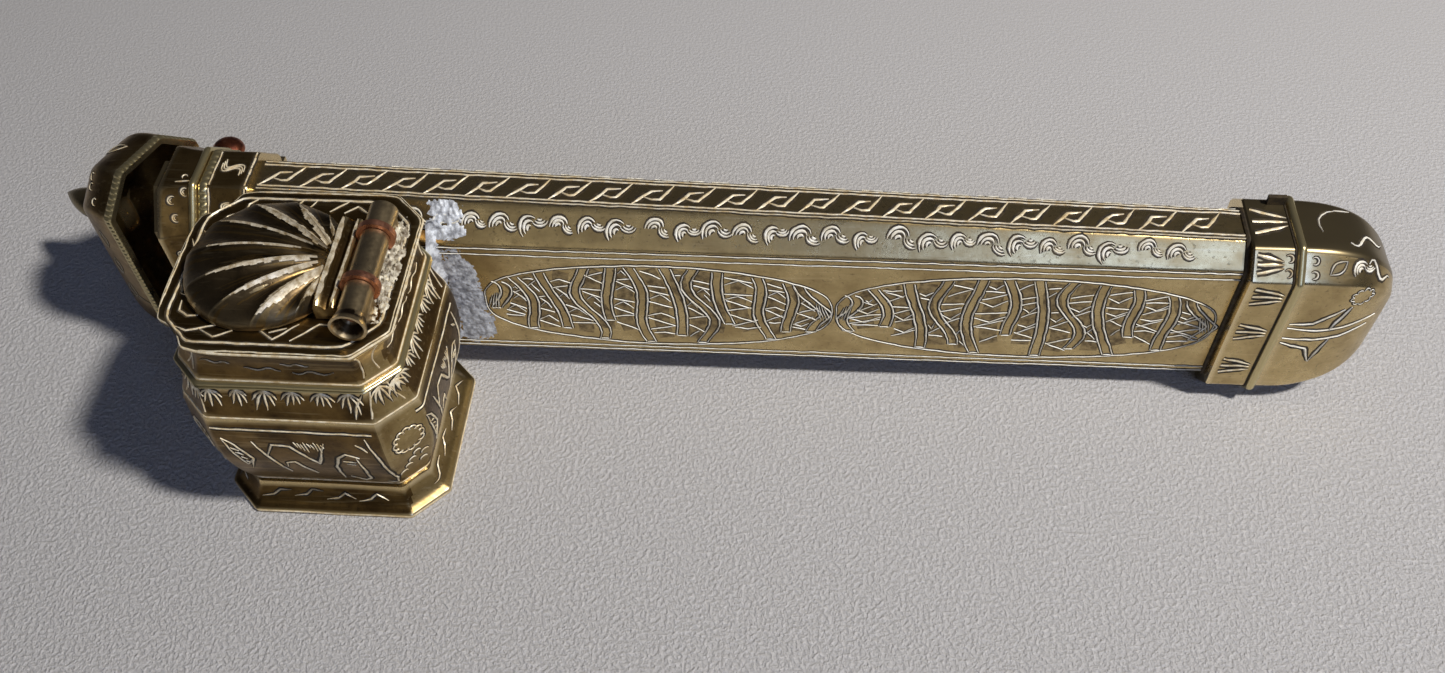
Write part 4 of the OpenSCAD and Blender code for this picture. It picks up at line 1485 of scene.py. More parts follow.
@dataclass
class Inkwell:
    """The cut-cornered well that is soldered to the case, in millimetres."""

    case: CaseSizes
    width: float = 43.0
    depth: float = 39.0
    height: float = 51.6
    cut: float = 6.0
    wall: float = 1.1
    clear: float = 0.1
    groove_z: float = 6.2
    belly_z: float = 7.8
    band_z: float = 32.9
    bead_z: float = 40.0
    rim_z: float = 41.6
    plate_z: float = 50.5
    hole: Flat = (-3.0, 0.0)
    hole_radius: float = 8.85

    def ring(self, z: float, out: float, soft: float = 0.6, inset: float = 0.0) -> Ring:
        """Ring of the well at height z, held clear of the case.

        Args:
            z: Height.
            out: Shift outwards from the plate's outline.
            soft: Wear of the corners.
            inset: Further distance kept from the case.

        Returns:
            The ring's points.
        """
        points = []
        for x, y in outline(self.width + 2 * out, self.depth + 2 * out, self.cut + CUT_RATE * out, soft, 12):
            front = self.case.front_y(x, z)
            if front is not None:
                y = min(y, front - self.clear - inset)
            points.append(self._beaten(x, y, z))
        return points

    def _beaten(self, x: float, y: float, z: float) -> Vector:
        """A point of the well, with the left corners of its top beaten in."""
        share = min(1.0, max(0.0, (z - self.rim_z) / 7))
        for cx, cy, dx, dy in ((-18.5, -16.5, 1.5, 2.1), (-18.5, 16.5, 1.9, -1.5)):
            near = share * math.exp(-((x - cx) ** 2 + (y - cy) ** 2) / 34)
            x, y = x + dx * near, y + dy * near
        return Vector((x, y, z))

    def wire(self, form: Form, z: float, out: float, radius: float) -> None:
        """Adds a bright line that runs round the well.

        Args:
            form: Form to add to.
            z: Height of the edge.
            out: Its shift from the plate's outline.
            radius: Half its thickness.
        """
        turns = [math.pi * k / 4 for k in range(8)]
        form.sheet([self.ring(z + radius * math.sin(a), out + radius * math.cos(a), 0.9) for a in turns], [])

    def shell(self, profile: list[Flat], soft: float = 0.6) -> Form:
        """Ring of sheet with an outside profile of heights and shifts."""
        form = Form()
        form.sheet([self.ring(z, o, soft) for z, o in profile],
                   [self.ring(z, o - self.wall, soft * 0.6, self.wall) for z, o in profile])
        return form.worn(0.12, 12)

    def profiles(self) -> dict[str, list[Flat]]:
        """Outside profile of each tier of the well."""
        foot = [(0.0, 0.75), (0.25, 1.0), (1.05, 1.0), (1.3, 0.8), (1.55, 0.1), (2.2, -0.55), (3.4, -1.35),
                (4.8, -2.05), (self.groove_z, -2.5)]
        belly = []
        for k in range(25):
            t = k / 24
            out = lerp(-2.5, 0.75, t) + 2.2 * math.sin(math.pi * t) ** 0.8
            belly.append((lerp(self.belly_z, self.band_z, t), out))
        band = [(lerp(self.band_z, self.bead_z, t), lerp(0.75, -1.25, t) - 0.15 * math.sin(math.pi * t))
                for t in (0, 0.04, 0.2, 0.4, 0.6, 0.8, 1)]
        half = (self.rim_z - self.bead_z) / 2
        bead = [(self.bead_z + half * (j + t), -1.15 + 0.72 * math.sin(math.pi * t) ** 0.7)
                for j in (0, 1) for t in (0.0, 0.12, 0.3, 0.5, 0.7, 0.88, 1.0)]
        rim = [(lerp(self.rim_z, self.plate_z, t), -1.25 - 0.75 * math.sin(math.pi * t) + 0.95 * t ** 3)
               for t in [k / 12 for k in range(13)]]
        return {"foot": foot, "belly": belly, "band": band, "bead": bead, "rim": rim,
                "groove": [(self.groove_z, -3.1), (self.belly_z, -3.1)]}

    def build(self) -> None:
        """Makes the tiers, the plate and the engraving."""
        profiles = self.profiles()
        finish = {"bead": Finish.BRIGHT, "groove": Finish.DARK}
        tiers = {}
        for tier, profile in profiles.items():
            tiers[tier] = self.shell(profile, 0.8 if tier == "belly" else 0.55)
            reach = 0 if tier == "foot" else self.depth / 2 - self.cut + 0.2
            # Painted highlight: the foot's right side and the front-right corner of the other tiers take the brighter
            # finish, where the key lamp falls.
            tiers[tier].tarnish(lambda p: p.x > self.width / 2 - self.cut + 0.2 and p.y < (-reach if reach else 99))
            tiers[tier].make(f"well_{tier}_sheet", "case", [finish.get(tier, Finish.WELL), Finish.CORNER],
                             (f"well_{tier}",))
        whole = Form()
        for name in ("foot", "belly", "band", "rim"):
            whole.add(tiers[name].points, tiers[name].faces)
        plate = self.plate()
        plate.make("well_top_plate", "case", [Finish.WELL], ("well_plate",))
        dress(Finish.DARK, "well_base")
        dress(Finish.COPPER, "ink_cup", bevel_mm=0.1)
        dress(Finish.WELL, "ink_mouth_ring", bevel_mm=0.2)
        edges = Form()
        for z, out, radius in ((0.62, 0.86, 0.26), (self.band_z, 0.66, 0.2), (41.9, -1.36, 0.2),
                               (self.plate_z + 0.75, -0.1, 0.24), (8.0, -2.35, 0.16)):
            self.wire(edges, z, out, radius)
        above_table(edges).make("well_bright_edges", "case", [Finish.CUT])
        self.engrave_walls(whole)
        self.engrave_plate(plate)

    def plate(self) -> Form:
        """Plate with a hole for the ink cup."""
        top, low = self.height, self.plate_z
        edge = [(low + 0.02, -0.35), (low + 0.25, -0.02), (low + 0.5, 0.0), (top - 0.35, 0.0), (top - 0.1, -0.12), (top, -0.4)]
        rings = [self.ring(z, o, 0.7) for z, o in edge]
        hole = []
        for p in rings[-1]:
            a = math.atan2(p.y - self.hole[1], p.x - self.hole[0])
            hole.append(Vector((self.hole[0] + self.hole_radius * math.cos(a),
                                self.hole[1] + self.hole_radius * math.sin(a), top)))
        shares = (0.12, 0.3, 0.5, 0.75, 1.0)
        rings += [[a.lerp(b, t) for a, b in zip(rings[-1], hole)] for t in shares]
        bottom = [[Vector((p.x, p.y, low + 0.02)) for p in ring] for ring in (rings[-1], rings[-3])]
        form = Form()
        form.sheet(rings + bottom, [])
        return form.worn(0.12, 14)

    def _faces(self) -> dict[str, tuple[Patch, float]]:
        """Patch over each free side of the well, with half the side's width."""
        diagonal = 1 / math.sqrt(2)
        half_x, half_y = self.width / 2, self.depth / 2
        at = (half_x - self.cut / 2, half_y - self.cut / 2)
        return {
            "front": (Patch(Vector((0, -half_y, 0)), AXIS_X, AXIS_Z), half_x - self.cut),
            "right": (Patch(Vector((half_x, -1.5, 0)), AXIS_Y, AXIS_Z), half_y - self.cut),
            "left": (Patch(Vector((-half_x, -1.5, 0)), -AXIS_Y, AXIS_Z), half_y - self.cut),
            "front_right": (Patch(Vector((at[0], -at[1], 0)), Vector((diagonal, diagonal, 0)), AXIS_Z), 3.9),
            "front_left": (Patch(Vector((-at[0], -at[1], 0)), Vector((diagonal, -diagonal, 0)), AXIS_Z), 3.9)}

    def engrave_walls(self, whole: Form) -> None:
        """Tufts on the band, arches and triangles on the belly, waves on foot and rim.

        Args:
            whole: The well's tiers in one form.
        """
        graver = Engraver(whole)
        for name, (patch, half) in self._faces().items():
            corner = name in ("front_right", "front_left")
            strokes: list[Stroke] = []
            if corner:
                strokes += Ornament.tuft((-0.9, 39.4), 4.6, -10) + Ornament.tuft((1.8, 38.9), 4.0, 14)
                strokes += Ornament.crescents((0.1, 24.6), 2.55, 12, 0.82)
                strokes += [arc((0.9 - 1.1 * k, 19.0 - 1.7 * k), 0.8, 20, 200, 0.4) for k in range(4)]
                strokes += [arc((2.6, 17.6), 0.8, 20, 200, 0.4), arc((2.0, 14.9), 0.8, 20, 200, 0.4)]
            else:
                strokes += self._band(half) + self._belly(half) + self._rim_marks(half)
                strokes += Ornament.waves((-half + 4.2, 3.7), 6.6, 1.5, int(half / 3.3))
            graver.cut(patch, [s.bolder(1.38) for s in strokes], 0.15, 1.7)
            sides = [line((u, z0), (u * 1.02, z1), width=0.4, start=1, end=1)
                     for u in ((-half, half) if not corner else ()) for z0, z1 in ((34.0, 39.6), (43.0, 50.0))]
            graver.cut(patch, sides, 0.1, 0)
        graver.make("well_cuts", "case")

    def _band(self, half: float) -> list[Stroke]:
        """Tufts that hang along the upper band."""
        count = round(half / 2.45)
        strokes = [s for k in range(count)
                   for s in Ornament.tuft((lerp(-half + 1.8, half - 3.6, k / (count - 1)), 39.5),
                                          4.3 + 0.7 * math.sin(4 * k), 4 * math.sin(2 * k))]
        return strokes + [line((half - 1.0, 39.4), (half - 2.6, 36.4), (half - 2.9, 33.8), width=0.5)]

    def _belly(self, half: float) -> list[Stroke]:
        """Border lines, a zigzag with small hatching, two arches and a folded leaf."""
        k = half / 15.5
        drawn = [
            line((-half - 0.2, 30.3), (half - 0.8, 30.0), width=0.5, start=0.9, end=0.9),
            line((-14.4 * k, 27.6), (-12.4 * k, 25.6), (-10.2 * k, 21.0), (-11.8 * k, 16.4), width=0.5),
            line((-14.4 * k, 27.6), (-13.4 * k, 22.6), (-12.0 * k, 18.2), (-10.2 * k, 20.8), width=0.5),
            line((-8.9 * k, 26.9), (-4.6 * k, 15.1), width=0.55),
            line((-7.2 * k, 22.0), (-5.2 * k, 26.0), (-1.9 * k, 25.6), (2.3 * k, 19.6), (4.8 * k, 27.0), width=0.6),
            line((-4.4 * k, 17.6), (-4.1 * k, 19.4), (-2.5 * k, 20.0), (-0.6 * k, 16.2), (0.4 * k, 14.5), width=0.55),
            line((5.0 * k, 12.4), (5.2 * k, 18.4), (6.5 * k, 22.2), (8.2 * k, 23.7), (10.6 * k, 22.6), width=0.6),
            line((10.0 * k, 22.6), (10.4 * k, 17.0), (10.1 * k, 12.4), (8.8 * k, 11.2), (6.4 * k, 13.6), width=0.55),
            line((7.2 * k, 21.2), (9.6 * k, 21.0), width=0.35), line((7.6 * k, 20.2), (9.4 * k, 19.8), width=0.35),
            line((11.0 * k, 27.2), (12.9 * k, 24.9), width=0.5),
            line((13.0 * k, 28.9), (14.3 * k, 23.0), (15.6 * k, 13.4), (14.9 * k, 10.6), (13.0 * k, 10.8), width=0.6)]
        drawn += [line(((-0.8 + 0.62 * j) * k, 27.2 - 0.3 * (j % 3)), ((-0.3 + 0.62 * j) * k, 25.6 - 0.5 * (j % 4)),
                       width=0.36) for j in range(9)]
        drawn += [line(((-13.4 + 0.5 * j) * k, 24.6 - 1.6 * j), ((-12.0 + 0.3 * j) * k, 23.6 - 1.5 * j), width=0.36)
                  for j in range(4)]
        return drawn

    def _rim_marks(self, half: float) -> list[Stroke]:
        """A few light waves on the hollow rim."""
        strokes = []
        for u, v, length in ((-0.85 * half, 46.4, 5.5), (-0.35 * half, 45.0, 6.5), (0.1 * half, 46.6, 5.0),
                             (0.2 * half, 44.4, 7.5)):
            wave = [(u + length * k / 8, v + 0.35 * math.sin(k * 1.3 + u)) for k in range(9)]
            strokes.append(Stroke(tuple(wave), 0.26, 0.2, 0.2))
        return strokes

    def engrave_plate(self, plate: Form) -> None:
        """Border line, hooks and zigzags on the plate."""
        patch = Patch(Vector((0, 0, self.height)), AXIS_X, AXIS_Y)
        graver = Engraver(plate)
        border = outline(self.width - 4.6, self.depth - 4.4, self.cut - 0.6, 1.2, 1, 2)
        graver.cut(patch, [loop(border, 0.62)], 0.2, 1.6)
        rim = outline(self.width - 0.9, self.depth - 0.9, self.cut - 0.3, 0.9, 1, 2)
        graver.cut(patch, [loop(rim, 0.34)], 0.1, 0)
        zigzag = line((-17.6, -13.6), (-14.6, -14.9), (-9.6, -13.4), width=0.5)
        strokes = [
            zigzag,
            line((-12.6, -14.2), (-9.4, -16.0), (-6.2, -14.6), width=0.5),
            line((-3.2, -13.2), (1.2, -16.2), (5.0, -12.6), width=0.45),
            line((4.2, -16.4), (8.6, -12.4), (12.2, -12.6), width=0.4),
            line((0.2, -14.8), (3.2, -13.6), width=0.35),
            line((-12.4, 10.2), (-12.2, 15.6), (-10.8, 17.0), width=0.6),
            line((-9.8, 13.6), (-9.4, 15.4), (-4.4, 15.7), width=0.6),
            line((-3.6, 15.0), (-2.0, 17.2), width=0.5),
            line((-16.6, 9.4), (-15.4, 12.4), (-13.6, 13.2), width=0.6),
            line((-18.6, 8.6), (-16.4, 7.0), width=0.45),
            line((3.6, 14.4), (6.6, 17.0), width=0.45),
            line((6.4, 14.2), (8.6, 15.9), (11.4, 14.0), width=0.5),
            line((-19.0, -3.6), (-18.0, -6.6), (-16.6, -7.2), width=0.5),
            line((-17.4, -8.2), (-17.2, -10.4), (-15.4, -11.6), (-13.4, -11.4), width=0.55),
            line((-20.2, 6.4), (-18.2, 2.4), width=0.4),
            line((0.6, 17.1), (-1.6, 13.8), width=0.3)]
        graver.cut(patch, strokes, 0.18, 1.7)
        graver.make("plate_cuts", "case")


@dataclass
class ShellLid:
    """The fluted lid with its bar, on the well's own hinge, in millimetres."""

    base_z: float
    root_x: float = 10.0
    centre_x: float = -4.0
    radius: float = 14.8
    rise: float = 6.0
    edge: float = 0.8
    groove: float = 1.2
    flutes: int = 9
    span: float = 74.0
    wall: float = 1.1
    bar_x: float = 7.8
    bar_length: float = 21.0
    bar_y: float = -0.8
    CRESTS: ClassVar[tuple[tuple[float, float, float], ...]] = (
        (0.2, 0.78, 0.75), (0.12, 0.93, 0.78), (0.14, 0.84, 0.5), (0.12, 0.86, 0.5), (0.2, 0.9, 0.26),
        (0.16, 0.95, 0.3), (0.1, 0.92, 0.66), (0.12, 0.84, 0.75), (0.3, 0.8, 0.3))

    @classmethod
    def from_frame(cls) -> "ShellLid":
        """Reads the lid's height from the frame."""
        return cls(mm_box("shell_lid")[0].z)

    def _reach(self, a: float) -> float:
        """Distance from the fan's root to the shell's edge at an angle."""
        step = self.root_x - self.centre_x
        return step * math.cos(a) + math.sqrt(self.radius ** 2 - (step * math.sin(a)) ** 2)

    def _top(self, degrees: float, t: float) -> Vector:
        """Point on top of the shell.

        Args:
            degrees: Angle of the fan.
            t: Share of the way from the root to the edge.

        Returns:
            The point.
        """
        a = math.radians(degrees)
        reach = t * self._reach(a)
        x, y = self.root_x - reach * math.cos(a), reach * math.sin(a)
        fall = ((x - self.centre_x) ** 2 + y * y) / self.radius ** 2
        rise = math.sqrt(max(0.0, 1 - fall))
        lobe = abs(math.cos(math.radians(90 * self.flutes * (degrees / self.span + 1)))) ** 0.8
        hollow = self.groove * lobe * math.sqrt(max(0.0, 1 - 0.86 * t * t))
        return Vector((x, y, self.base_z + self.edge + self.rise * rise - hollow))

    def build(self) -> None:
        """Makes the shell, its ridges, the bar and the hinge's looks."""
        angles = [self.span * (k / 162 - 1) for k in range(325)]
        rows = [[self._top(a, lerp(self._first(a), 1, math.sin(math.pi / 2 * j / 30))) for a in angles]
                for j in range(31)]
        rows.append([Vector((p.x, p.y, self.base_z + 0.1)) for p in rows[-1]])
        n, m = len(angles), len(rows)
        keep, keep_z = 1 - self.wall / self.radius, 1 - self.wall / (self.rise + self.edge)
        top = [p for row in rows for p in row]
        under = [Vector((self.centre_x + keep * (p.x - self.centre_x), keep * p.y,
                         self.base_z + keep_z * (p.z - self.base_z))) for p in top]
        cells = [(j * n + i, (j + 1) * n + i, (j + 1) * n + i + 1, j * n + i + 1)
                 for j in range(m - 1) for i in range(n - 1)]
        rim = ([(m - 1) * n + i for i in range(n)] + [j * n + n - 1 for j in range(m - 2, 0, -1)]
               + [i for i in range(n - 1, -1, -1)] + [j * n for j in range(1, m - 1)])
        size = n * m
        walls = [(rim[i], size + rim[i], size + rim[(i + 1) % len(rim)], rim[(i + 1) % len(rim)])
                 for i in range(len(rim))]
        form = Form()
        form.add(top + under, cells + [tuple(size + i for i in c[::-1]) for c in cells] + walls)
        form.tarnish(self._streaked, 2)
        form.tarnish(self._on_crest)
        form.make("scallop", "lid", [Finish.LID, Finish.CREST, Finish.COLLAR], ("shell_lid",), 50)
        self.bar()

    def _first(self, degrees: float) -> float:
        """Share of the way from the root at which the shell leaves the bar."""
        a = math.radians(degrees)
        return (self.root_x - self.bar_x) / (math.cos(a) * self._reach(a))

    def _streaked(self, p: Vector) -> bool:
        """Whether a point lies on a thin streak that runs out from the root."""
        x, y = self.root_x - p.x, p.y
        streak = noise.noise(Vector((math.degrees(math.atan2(y, x)) * 0.55, math.hypot(x, y) * 0.09, 7)))
        return streak > 0.22 and p.z > self.base_z + self.edge

    def _on_crest(self, p: Vector) -> bool:
        """Whether a point lies on the rubbed part of a crest."""
        x, y = self.root_x - p.x, p.y
        degrees = math.degrees(math.atan2(y, x))
        k = max(0, min(self.flutes - 1, int((degrees / self.span + 1) * self.flutes / 2)))
        crest = self.span * ((1 + 2 * k) / self.flutes - 1)
        reach = self._reach(math.radians(crest))
        t = math.hypot(x, y) / reach
        start, stop, half = self.CRESTS[k]
        if not start < t < stop or p.z < self.base_z + self.edge + 0.9:
            return False
        off = abs(math.radians(degrees - crest)) * t * reach
        grow = min(1.0, (t - start) / 0.12, (stop - t) / 0.2)
        return off < half * grow * (1 + 0.5 * noise.noise(Vector((x * 0.7, y * 2.5, 1))))



    def bar(self) -> None:
        """Ridged bar across the lid, and the hinge's other pieces."""
        x, z = self.bar_x, self.base_z
        profile = [(x, z), (x, z + 3.2), (x + 0.35, z + 4.1), (x + 0.85, z + 4.4), (x + 1.35, z + 4.1),
                   (x + 1.75, z + 3.3), (x + 2.25, z + 3.0), (x + 2.75, z + 3.3), (x + 3.05, z + 3.75),
                   (x + 3.45, z + 3.9), (x + 3.85, z + 3.6), (x + 4.05, z + 3.0), (x + 4.05, z + 2.2), (x + 2.4, z)]
        low, high = self.bar_y - self.bar_length / 2, self.bar_y + self.bar_length / 2
        rings = []
        for k in range(25):
            y = lerp(low, high, k / 24)
            tuck = 1 - 0.16 * max(0.0, abs(2 * k / 24 - 1) - 0.86) / 0.14
            sway = 0.12 * noise.noise(Vector((0.3, y * 0.35, 0)))
            rings.append([Vector((p + sway, y, lerp(z, q, tuck))) for p, q in profile])
        form = Form()
        form.solid(rings)
        form.worn(0.06, 7).make("scallop_bar", "lid", [Finish.WELL], ("lid_bar",), 50)
        self.bar_lines(low, high)
        dress(Finish.HINGE, "lid_knuckle", bevel_mm=0.25)
        dress(Finish.HINGE, "plate_knuckles", bevel_mm=0.25)
        dress(Finish.COPPER, "lid_washers", "lid_hinge_pin", bevel_mm=0.3)


    def bar_lines(self, low: float, high: float) -> None:
        """Rubbed crests of the bar.

        Args:
            low: Near end of the bar.
            high: Far end of the bar.
        """
        form = Form()
        for x, z, half, thick in ((0.85, 4.38, 0.62, 0.12), (3.42, 3.86, 0.4, 0.1)):
            rings = []
            for k in range(31):
                y = lerp(low + 0.7, high - 0.7, k / 30)
                wide = half * (0.75 + 0.35 * noise.noise(Vector((x, y * 0.6, 5)))) * min(1, 0.3 + k / 4, 0.3 + (30 - k) / 4)
                sway = self.bar_x + x + 0.12 * noise.noise(Vector((0.3, y * 0.35, 0)))
                top = self.base_z + z + thick
                rings.append([Vector((sway - wide, y, top - 0.4)), Vector((sway - wide * 0.6, y, top)),
                              Vector((sway + wide * 0.6, y, top)), Vector((sway + wide, y, top - 0.4))])
            form.solid(rings)
        form.make("scallop_bar_crests", "lid", [Finish.CREST])


@dataclass
class Solder:
    """Soft solder: the corner fillets, the film over the case and the crust round the lid's hinge."""

    case: CaseSizes
    well: Inkwell

    def build(self) -> None:
        """Makes the fillets, the film and the crust."""
        form = Form()
        for side in (1, -1):
            self._fillet(form, side)
        self._under(form)
        form.make("solder_fillets", "case", [Finish.SOLDER], ("solder_seam",), 60)
        self._film()
        self._crust()

    def _fillet(self, form: Form, side: int) -> None:
        """Adds a lumpy fillet in one rear corner.

        Args:
            form: Form to add to.
            side: 1 for the right corner, -1 for the left.
        """
        reach = 4.6 if side > 0 else 2.2
        rings = []
        for k in range(41):
            z = lerp(7.6, 43.5, k / 40)
            front = self.case.front_y(side * 20, min(z, 41)) or 18.0
            lump = 1 + 0.45 * noise.noise(Vector((side, 0, z * 0.42))) + 0.2 * noise.noise(Vector((side, 9, z * 1.3)))
            grow = min(1.0, 0.25 + (k / 5), 0.3 + (40 - k) / 6)
            out, deep = reach * lump * grow, 3.2 * lump * grow
            edge = 18.9
            ring = [Vector((side * edge, front + 0.4, z)), Vector((side * edge, front - deep, z))]
            for j in range(1, 9):
                t = j / 9
                sag = math.sin(math.pi * t) * 0.30 * out
                rough = 0.22 * noise.noise(Vector((t * 4, side * 3, z * 0.9)))
                ring.append(Vector((side * (edge + out * t - sag * 0.6 + rough), front - deep * (1 - t) + sag + rough, z)))
            ring.append(Vector((side * (edge + out), front + 0.4, z)))
            rings.append(ring)
        form.solid(rings)

    def _under(self, form: Form) -> None:
        """Adds the bed in the gap over the foot."""
        rings = []
        for k in range(17):
            x = lerp(-15.2, 15.2, k / 16)
            front = (self.case.front_y(x, 9.5) or 18.0)
            swell = 0.12 * noise.noise(Vector((x * 0.5, 2, 2)))
            rings.append([Vector((x, front + 0.3, 8.5)), Vector((x, front - 0.75 - swell, 8.6)),
                          Vector((x, front - 0.6 - swell, 10.2)), Vector((x, front - 0.1, 12.0)),
                          Vector((x, front + 0.3, 12.0))])
        form.solid(rings)

    def _skin(self, name: str, patch: Patch, tree: BVHTree, limits: list[tuple[float, float, float]], peak: float,
              spread: float, seed: float, finish: Finish, bare: float = 0.3, steep: float = 3.2) -> None:
        """Makes a lumpy film over part of a surface, ragged where it thins out.

        Args:
            name: Name of the piece.
            patch: Patch over the surface.
            tree: The surface.
            limits: Place across the patch, with the film's first and last place along it.
            peak: Greatest thickness.
            spread: Size of the lumps.
            seed: Varies the lumps.
            finish: Its finish.
            bare: Share of the noise that stays bare.
            steep: How fast it thickens in from both sides.
        """
        v0, v1 = limits[0][0], limits[-1][0]
        nu, nv = 44, max(10, int((v1 - v0) / 0.28))
        facing = patch.facing
        top, low = [], []
        for i in range(nu + 1):
            for j in range(nv + 1):
                v = lerp(v0, v1, j / nv)
                k = next(n for n in range(1, len(limits)) if v <= limits[n][0] + 1e-6)
                share = (v - limits[k - 1][0]) / (limits[k][0] - limits[k - 1][0])
                u = lerp(lerp(limits[k - 1][1], limits[k][1], share), lerp(limits[k - 1][2], limits[k][2], share), i / nu)
                spot, normal, _, _ = tree.ray_cast(patch.at(u, v) + facing * 7, -facing, 20)
                if spot is None:
                    spot, normal = patch.at(u, v) - facing * 0.5, facing
                normal = normal if normal.dot(facing) > 0 else -normal
                fade = min(1.0, steep * i / nu, steep * (1 - i / nu)) * min(1.0, 6 * j / nv, 6 * (1 - j / nv))
                lumps = 0.62 + 0.5 * noise.noise(Vector((u / spread, v / spread, seed)))
                grit = 0.34 * noise.noise(Vector((u * 1.5, v * 1.5, seed + 5))) + 0.2 * noise.noise(
                    Vector((u * 3.3, v * 3.3, seed + 9)))
                top.append(spot + normal * max(peak * (fade * lumps + grit * (0.3 + fade) - bare), -0.15))
                low.append(spot - normal * 0.22)
        row, count = nv + 1, len(top)
        faces = []
        for i in range(nu):
            for j in range(nv):
                a, b, c, d = i * row + j, (i + 1) * row + j, (i + 1) * row + j + 1, i * row + j + 1
                faces += [(a, b, c, d), (count + d, count + c, count + b, count + a)]
        rim = ([i * row for i in range(nu)] + [nu * row + j for j in range(nv)]
               + [i * row + nv for i in range(nu, 0, -1)] + [j for j in range(nv, 0, -1)])
        faces += [(p, rim[(k + 1) % len(rim)], count + rim[(k + 1) % len(rim)], count + p) for k, p in enumerate(rim)]
        form = Form()
        form.add(top + low, faces)
        form.make(name, "case", [finish], (), 70)

    def _film(self) -> None:
        """Film of solder over the case's front and chamfer beside the well."""
        s = self.case
        form = Form()
        stops = [lerp(s.mouth_x, s.butt_x, k / 44) for k in range(45)]
        form.sheet([s.at(x).ring(x, s.axis_y) for x in stops], [s.at(x).ring(x, s.axis_y, -1.1) for x in stops])
        tree = form.worn(0.1, 17).surface()
        front = Patch(Vector((0, s.axis_y - 11, 0)), AXIS_X, AXIS_Z)
        across = Vector((0, 1, 1)).normalized()
        corner = Patch(Vector((0, s.axis_y - 7.4, 43.2)), AXIS_X, across)
        self._skin("solder_film_front", front, tree,
                   [(6.8, 19, 25.5), (12, 20, 29.3), (20, 20, 28.8), (27, 20, 28.2), (33, 19.5, 27.2), (39.6, 19, 25.0)],
                   0.3, 2.6, 2.0, Finish.SOLDER, 0.2)
        self._skin("solder_film_corner", corner, tree, [(-4.6, 18, 26.5), (-1, 18, 27.8), (4.4, 17, 25.5)],
                   0.75, 1.7, 7.0, Finish.SOLDER, 0.26)

    def _crust(self) -> None:
        """Crust of solder round the lid's hinge."""
        tree = self.well.plate().surface()
        patch = Patch(Vector((0, 0, self.well.height)), AXIS_X, AXIS_Y)
        self._skin("hinge_crust", patch, tree, [(-13.5, 10.9, 19.8), (-4, 10.7, 20.4), (6, 10.7, 20.6), (15.5, 10.9, 19.8)],
                   2.6, 2.1, 4.0, Finish.RESIDUE, 0.4, 9.0)


# ---------------------------------------------------------------- studio


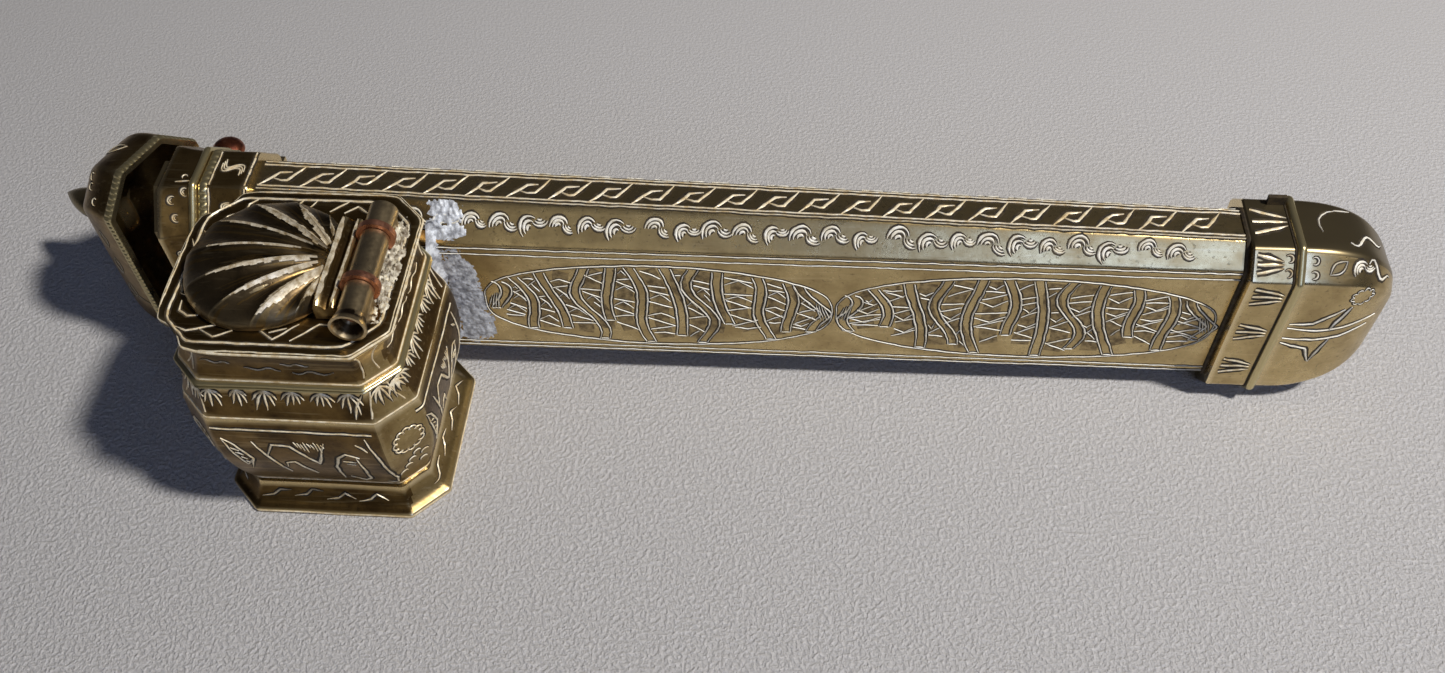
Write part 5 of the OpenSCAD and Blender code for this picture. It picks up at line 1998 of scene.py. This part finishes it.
@dataclass
class Studio:
    """Table, lights and camera, in metres and degrees."""

    camera_at: tuple[float, float, float] = (0.09153, -0.15039, 0.22743)
    yaw: float = -5.25
    pitch: float = -51.61
    roll: float = -1.95
    lens: float = 32.62
    table_size: float = 5.0

    def build(self) -> None:
        """Makes the table, the lights and the camera."""
        self._table()
        self._sky()
        middle = Vector((0.05, 0.02, 0.02))
        self._lamp("key", middle + Vector((0.56, -0.16, 0.82)) * 1.15, middle, 0.11, 12.6, (1.0, 0.965, 0.93))
        self._lamp("window", Vector((0.46, -0.74, 0.64)), Vector((0.14, 0.02, 0.04)), 0.46, 1.45, (0.4, 0.55, 1.0))
        self._lamp("wall", Vector((-0.12, -0.86, 0.58)), Vector((0.06, 0.02, 0.04)), 0.62, 0.42, (1.0, 0.95, 0.86))
        self._camera()

    def _table(self) -> None:
        """Pale table under the set."""
        half = self.table_size / 2
        mesh = bpy.data.meshes.new("table")
        mesh.from_pydata([(-half, -half, 0), (half, -half, 0), (half, half, 0), (-half, half, 0)], [], [(0, 1, 2, 3)])
        mesh.materials.append(Finish.TABLE.material)
        table = bpy.data.objects.new("table", mesh)
        bpy.context.scene.collection.objects.link(table)

    def _sky(self) -> None:
        """Dim room, bluish."""
        world = bpy.data.worlds.new("room")
        world.use_nodes = True
        back = world.node_tree.nodes["Background"]
        back.inputs["Color"].default_value = (0.82, 0.86, 1.2, 1)
        back.inputs["Strength"].default_value = 0.021
        bpy.context.scene.world = world

    def _lamp(self, name: str, at: Vector, to: Vector, size: float, watts: float, colour: Colour) -> None:
        """Adds a soft lamp.

        Args:
            name: Name of the lamp.
            at: Where it stands.
            to: What it points at.
            size: Its width.
            watts: Its power.
            colour: Its colour.
        """
        data = bpy.data.lights.new(name, "AREA")
        data.shape = "DISK"
        data.size = size
        data.energy = watts
        data.color = colour
        lamp = bpy.data.objects.new(name, data)
        lamp.location = at
        lamp.rotation_mode = "QUATERNION"
        lamp.rotation_quaternion = (to - at).to_track_quat("-Z", "Y")
        bpy.context.scene.collection.objects.link(lamp)

    def _camera(self) -> None:
        """Camera over the front, looking down along the case."""
        yaw, pitch, roll = (math.radians(a) for a in (self.yaw, self.pitch, self.roll))
        ahead = Vector((math.sin(yaw) * math.cos(pitch), math.cos(yaw) * math.cos(pitch), math.sin(pitch)))
        level = Vector((math.cos(yaw), -math.sin(yaw), 0))
        over = level.cross(ahead)
        right = level * math.cos(roll) + over * math.sin(roll)
        up = over * math.cos(roll) - level * math.sin(roll)
        data = bpy.data.cameras.new("camera")
        data.lens, data.sensor_width, data.sensor_fit = self.lens, 36, "HORIZONTAL"
        data.clip_start, data.clip_end = 0.005, 20
        camera = bpy.data.objects.new("camera", data)
        camera.matrix_world = Matrix.Translation(self.camera_at) @ Matrix((right, up, -ahead)).transposed().to_4x4()
        bpy.context.scene.collection.objects.link(camera)
        bpy.context.scene.camera = camera


def corners(box: tuple[Vector, Vector]) -> list[list[float]]:
    """A box as plain lists."""
    return [list(box[0]), list(box[1])]


def main() -> None:
    """Builds the set round its frame, then the studio."""
    logging.basicConfig(level=logging.INFO, format="%(message)s")
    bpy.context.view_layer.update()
    bpy.context.scene.view_settings.view_transform = "Standard"
    sizes = CaseSizes.from_frame()
    well = Inkwell(sizes)
    for part in (PenTube(sizes), MouthCollar(sizes), ButtEnd(sizes), CapHinge(), Cap(sizes), well,
                 ShellLid.from_frame(), Solder(sizes, well), Studio()):
        LOG.info("building %s", type(part).__name__)
        part.build()


if __name__ == "__main__":
    main()
